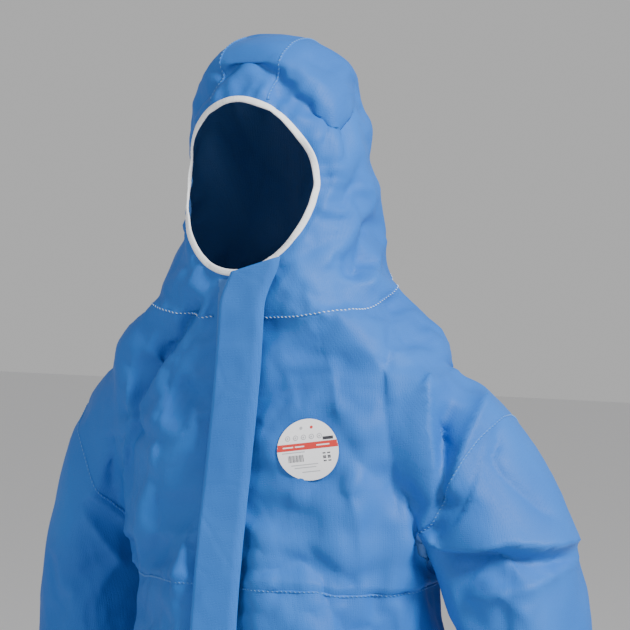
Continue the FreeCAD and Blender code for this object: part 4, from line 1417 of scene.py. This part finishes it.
@dataclass
class ChestLabel:
    """A round paper sticker with generic printed marks on the wearer's left chest."""
    garment: Garment
    radius: float = 0.031
    ink_thick: float = 0.00012
    tilt: float = 8.0
    curve: np.ndarray = field(default=None, repr=False)
    verts: list = field(default_factory=list)
    faces: list = field(default_factory=list)
    inks: list = field(default_factory=list)

    def spot(self, u: float, v: float, lift: float) -> tuple:
        """Returns the point of the chest at label coordinates u and v."""
        a = math.radians(self.tilt)
        x = self.garment.label_spot[0] + (u * math.cos(a) - v * math.sin(a)) * self.radius
        z = self.garment.label_spot[1] + (u * math.sin(a) + v * math.cos(a)) * self.radius
        return x, float(np.dot(self.curve, (1, u, v, u * u, u * v, v * v))) - lift, z

    def settle(self) -> None:
        """Bends the paper to the chest as a smooth curve that stays just in front of the cloth."""
        self.curve = np.zeros(6)
        span = np.linspace(-1, 1, 13)
        places = [(u, v) for u in span for v in span if u * u + v * v < 1.05]
        terms = np.array([(1, u, v, u * u, u * v, v * v) for u, v in places])
        spots = [self.spot(u, v, 0) for u, v in places]
        cloth = np.array([self.garment.surface(x, z).y for x, _, z in spots])
        self.curve = np.linalg.lstsq(terms, cloth, rcond=None)[0]
        self.curve[0] -= max(float((terms @ self.curve - cloth).max()), 0) + 0.0003

    def patch(self, us: np.ndarray, vs: np.ndarray, ink: Ink, layer: int = 1, disc: bool = False) -> None:
        """Adds a printed patch.

        Args:
            us: left to right, or radii on a disc.
            vs: bottom to top, or angles on a disc.
            ink: its colour.
            layer: its height above the paper.
            disc: True for polar coordinates round (0, 0).
        """
        start = len(self.verts)
        for v in vs:
            for u in us:
                place = (u * math.cos(v), u * math.sin(v)) if disc else (u, v)
                self.verts.append(self.spot(*place, self.ink_thick * layer))
        wide = len(us)
        for i in range(len(vs) - 1):
            for j in range(wide - 1):
                a = start + i * wide + j
                self.faces.append((a, a + 1, a + wide + 1, a + wide))
                self.inks.append(list(Ink).index(ink))

    def bar(self, u0: float, u1: float, v0: float, v1: float, ink: Ink, layer: int = 1) -> None:
        """Adds a printed bar."""
        steps = max(int((u1 - u0) / 0.12), 1)
        self.patch(np.linspace(u0, u1, steps + 1), np.linspace(v0, v1, 2), ink, layer)

    def dot(self, u: float, v: float, r: float, ink: Ink, layer: int = 1) -> None:
        """Adds a printed round dot."""
        start = len(self.verts)
        for k in range(16):
            a = k * math.pi / 8
            self.verts.append(self.spot(u + r * math.cos(a), v + r * math.sin(a), self.ink_thick * layer))
        self.faces.append(tuple(range(start, start + 16)))
        self.inks.append(list(Ink).index(ink))

    def build(self) -> bpy.types.Object:
        """Returns the label as one mesh."""
        self.settle()
        self.patch(np.linspace(0.0, 1.0, 9), np.linspace(0, 2 * math.pi, 49), Ink.PAPER, 0, True)
        for v0, v1 in ((0.02, 0.13), (0.13, 0.24)):
            reach = math.sqrt(1 - v1 * v1)
            self.bar(-reach, reach, v0, v1, Ink.RED)
        self.bar(0.52, 0.86, 0.28, 0.38, Ink.DARK)
        for k in range(5):
            u = -0.62 + 0.26 * k
            self.dot(u, 0.42, 0.085, Ink.GREY)
            self.dot(u, 0.42, 0.060, Ink.PAPER, 2)
            self.dot(u, 0.42, 0.028, Ink.GREY, 3)
        for k, u in enumerate((-0.17, 0.17)):
            self.dot(u, 0.72, 0.05, (Ink.GREY, Ink.RED)[k])
        for k in range(14):
            u = -0.66 + 0.036 * k
            self.bar(u, u + (0.012, 0.022, 0.016)[k % 3], -0.36, -0.14, Ink.DARK)
        for i in range(6):
            for j in range(6):
                if (i * 5 + j * 3 + i * j) % 3:
                    self.bar(0.42 + 0.05 * i, 0.462 + 0.05 * i, -0.42 + 0.05 * j, -0.378 + 0.05 * j, Ink.DARK)
        for v, u0, u1 in ((-0.06, -0.84, -0.1), (-0.48, -0.6, 0.28), (-0.57, -0.5, 0.2), (-0.72, -0.28, 0.3)):
            self.bar(u0, u1, v, v + 0.028, Ink.GREY)
        for u0, u1 in ((-0.80, -0.46), (-0.40, -0.10), (0.30, 0.72)):
            self.bar(u0, u1, 0.11, 0.15, Ink.PAPER, 2)
        obj = mesh_object("chest_label", np.array(self.verts), self.faces)
        for ink in Ink:
            obj.data.materials.append(PlainFinish("label " + ink.name.lower(), ink.value, 0.42).build())
        obj.data.polygons.foreach_set("material_index", self.inks)
        obj.data.polygons.foreach_set("use_smooth", [True] * len(self.faces))
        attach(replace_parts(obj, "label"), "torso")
        return obj


@dataclass
class ZipFastener:
    """The zip's CAD pieces, given their finishes."""
    coil: bpy.types.Material
    tape: bpy.types.Material
    metal: bpy.types.Material

    def build(self) -> None:
        """Gives each CAD piece of the zip its finish."""
        for name, node in frame["nodes"].items():
            finish = {"zip_coil": self.coil, "zip_tape": self.tape}.get(name.rsplit("_", 1)[0], self.metal)
            if name.startswith("zip_"):
                node.data.materials.clear()
                node.data.materials.append(finish)


@dataclass
class Studio:
    """A pale floor, soft light and the camera."""
    floor_z: float = -1.500
    floor_half: float = 14.0
    azimuth: float = 30.0
    elevation: float = 3.0
    distance: float = 2.2
    lens: float = 118.0
    target: tuple = (0.0286, 0.0165, -0.011)

    def lamp(self, name: str, place: tuple, aim: tuple, power: float, size: float) -> None:
        """Adds a soft area lamp at a place, aimed at a point."""
        data = bpy.data.lights.new(name, "AREA")
        data.energy, data.size = power, size
        lamp = bpy.data.objects.new(name, data)
        lamp.location = place
        lamp.rotation_euler = (Vector(aim) - Vector(place)).to_track_quat("-Z", "Y").to_euler()
        bpy.context.scene.collection.objects.link(lamp)

    def build(self) -> None:
        """Adds the floor, the lamps, the world and the camera."""
        half = self.floor_half
        corners = [(-half, -half), (half, -half), (half, half), (-half, half)]
        floor = mesh_object("floor", np.array([(x, y, self.floor_z) for x, y in corners]), [(0, 1, 2, 3)])
        floor.data.materials.append(PlainFinish("pale floor", (0.86, 0.86, 0.87, 1.0), 0.7).build())
        world = bpy.data.worlds.new("studio")
        world.use_nodes = True
        world.node_tree.nodes["Background"].inputs["Color"].default_value = (1.0, 1.0, 1.0, 1.0)
        world.node_tree.nodes["Background"].inputs["Strength"].default_value = 0.50
        bpy.context.scene.world = world
        self.lamp("key", (2.75, -0.75, 1.7), (0.0, 0.0, -0.1), 210.0, 0.7)
        self.lamp("fill", (-1.2, -3.0, 1.2), (0.0, 0.0, -0.3), 28.0, 1.2)
        camera = bpy.data.objects.new("camera", bpy.data.cameras.new("camera"))
        camera.data.lens = self.lens
        camera.data.clip_end = 60.0
        a, e = math.radians(self.azimuth), math.radians(self.elevation)
        back = Vector((math.sin(a) * math.cos(e), -math.cos(a) * math.cos(e), math.sin(e)))
        camera.location = Vector(self.target) + back * self.distance
        camera.rotation_euler = (-back).to_track_quat("-Z", "Y").to_euler()
        bpy.context.scene.collection.objects.link(camera)
        bpy.context.scene.camera = camera


def declare_sheets(garment: Garment, panels: dict) -> None:
    """Logs each cloth panel with the size it was cut to and its area.

    Args:
        garment: the cloth, whose unworn shape gives the areas.
        panels: the panels by name.
    """
    cuts = {"crown_panel": (0.09, 0.52), "back": (0.66, 0.46), "hood_side": (0.30, 0.36), "front": (0.36, 0.38),
            "sleeve_top": (0.52, 0.22), "sleeve_end": (0.48, 0.46), "trouser_front_skin": (0.34, 0.76),
            "trouser_back_skin": (0.36, 0.76), "leg": (0.58, 0.54)}
    for name, panel in panels.items():
        mesh = panel.data
        flat = read_flat(mesh)
        quads = np.array([tuple(p.vertices) for p in mesh.polygons if len(p.vertices) == 4])
        a, b, c, d = (flat[quads[:, k]] for k in range(4))
        area = 0.5 * np.linalg.norm(np.cross(c - a, d - b), axis=1).sum() * (1 + garment.looseness) ** 2
        width, length = cuts[name.rsplit("_", 1)[0] if name.endswith(("left", "right")) else name]
        area = min(max(float(area), 0.3 * width * length), width * length)
        log.info("%s: cut %.2f x %.2f m, area %.4f", name, width, length, area)


def main() -> None:
    """Builds the suit, the stage and the camera."""
    logging.basicConfig(level=logging.INFO)
    cloth = ClothFinish().build()
    # The flap has the suit's own fabric, painted lighter: painted light for the flap facing the lamps.
    flap_cloth_painted_lighter = ClothFinish("flap cloth painted lighter", (0.019, 0.145, 0.520, 1.0), (0.028, 0.175, 0.590, 1.0)).build()
    thread = ThreadFinish("blue thread", (0.10, 0.27, 0.60, 1.0)).build()
    bright = ThreadFinish().build()
    elastic = ElasticFinish().build()
    garment = Garment(Figure(), Opening())
    wearer = Wearer(garment.figure).build()
    garment.settle(wearer)
    bpy.data.objects.remove(wearer)
    garment.refine()
    flap_parts = StormFlap(garment, flap_cloth_painted_lighter, thread)
    panels = Panels(garment, cloth).build()
    Seams(garment, cloth, thread, bright).build()
    Elastics(garment, elastic).build()
    flap_parts.build()
    ChestLabel(garment).build()
    ZipFastener(CoilFinish().build(), PlainFinish("zip tape", (0.045, 0.17, 0.48, 1.0), 0.75).build(),
                PlainFinish("zip enamel", (0.05, 0.17, 0.46, 1.0), 0.35, 0.3).build()).build()
    declare_sheets(garment, panels)
    bpy.data.objects.remove(garment.cloth)
    for piece in bpy.context.scene.objects:
        if piece.type == "MESH":
            log.info("%s: %d faces", piece.name, len(piece.data.polygons))
    Studio().build()
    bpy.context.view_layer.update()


if __name__ == "__main__":
    main()
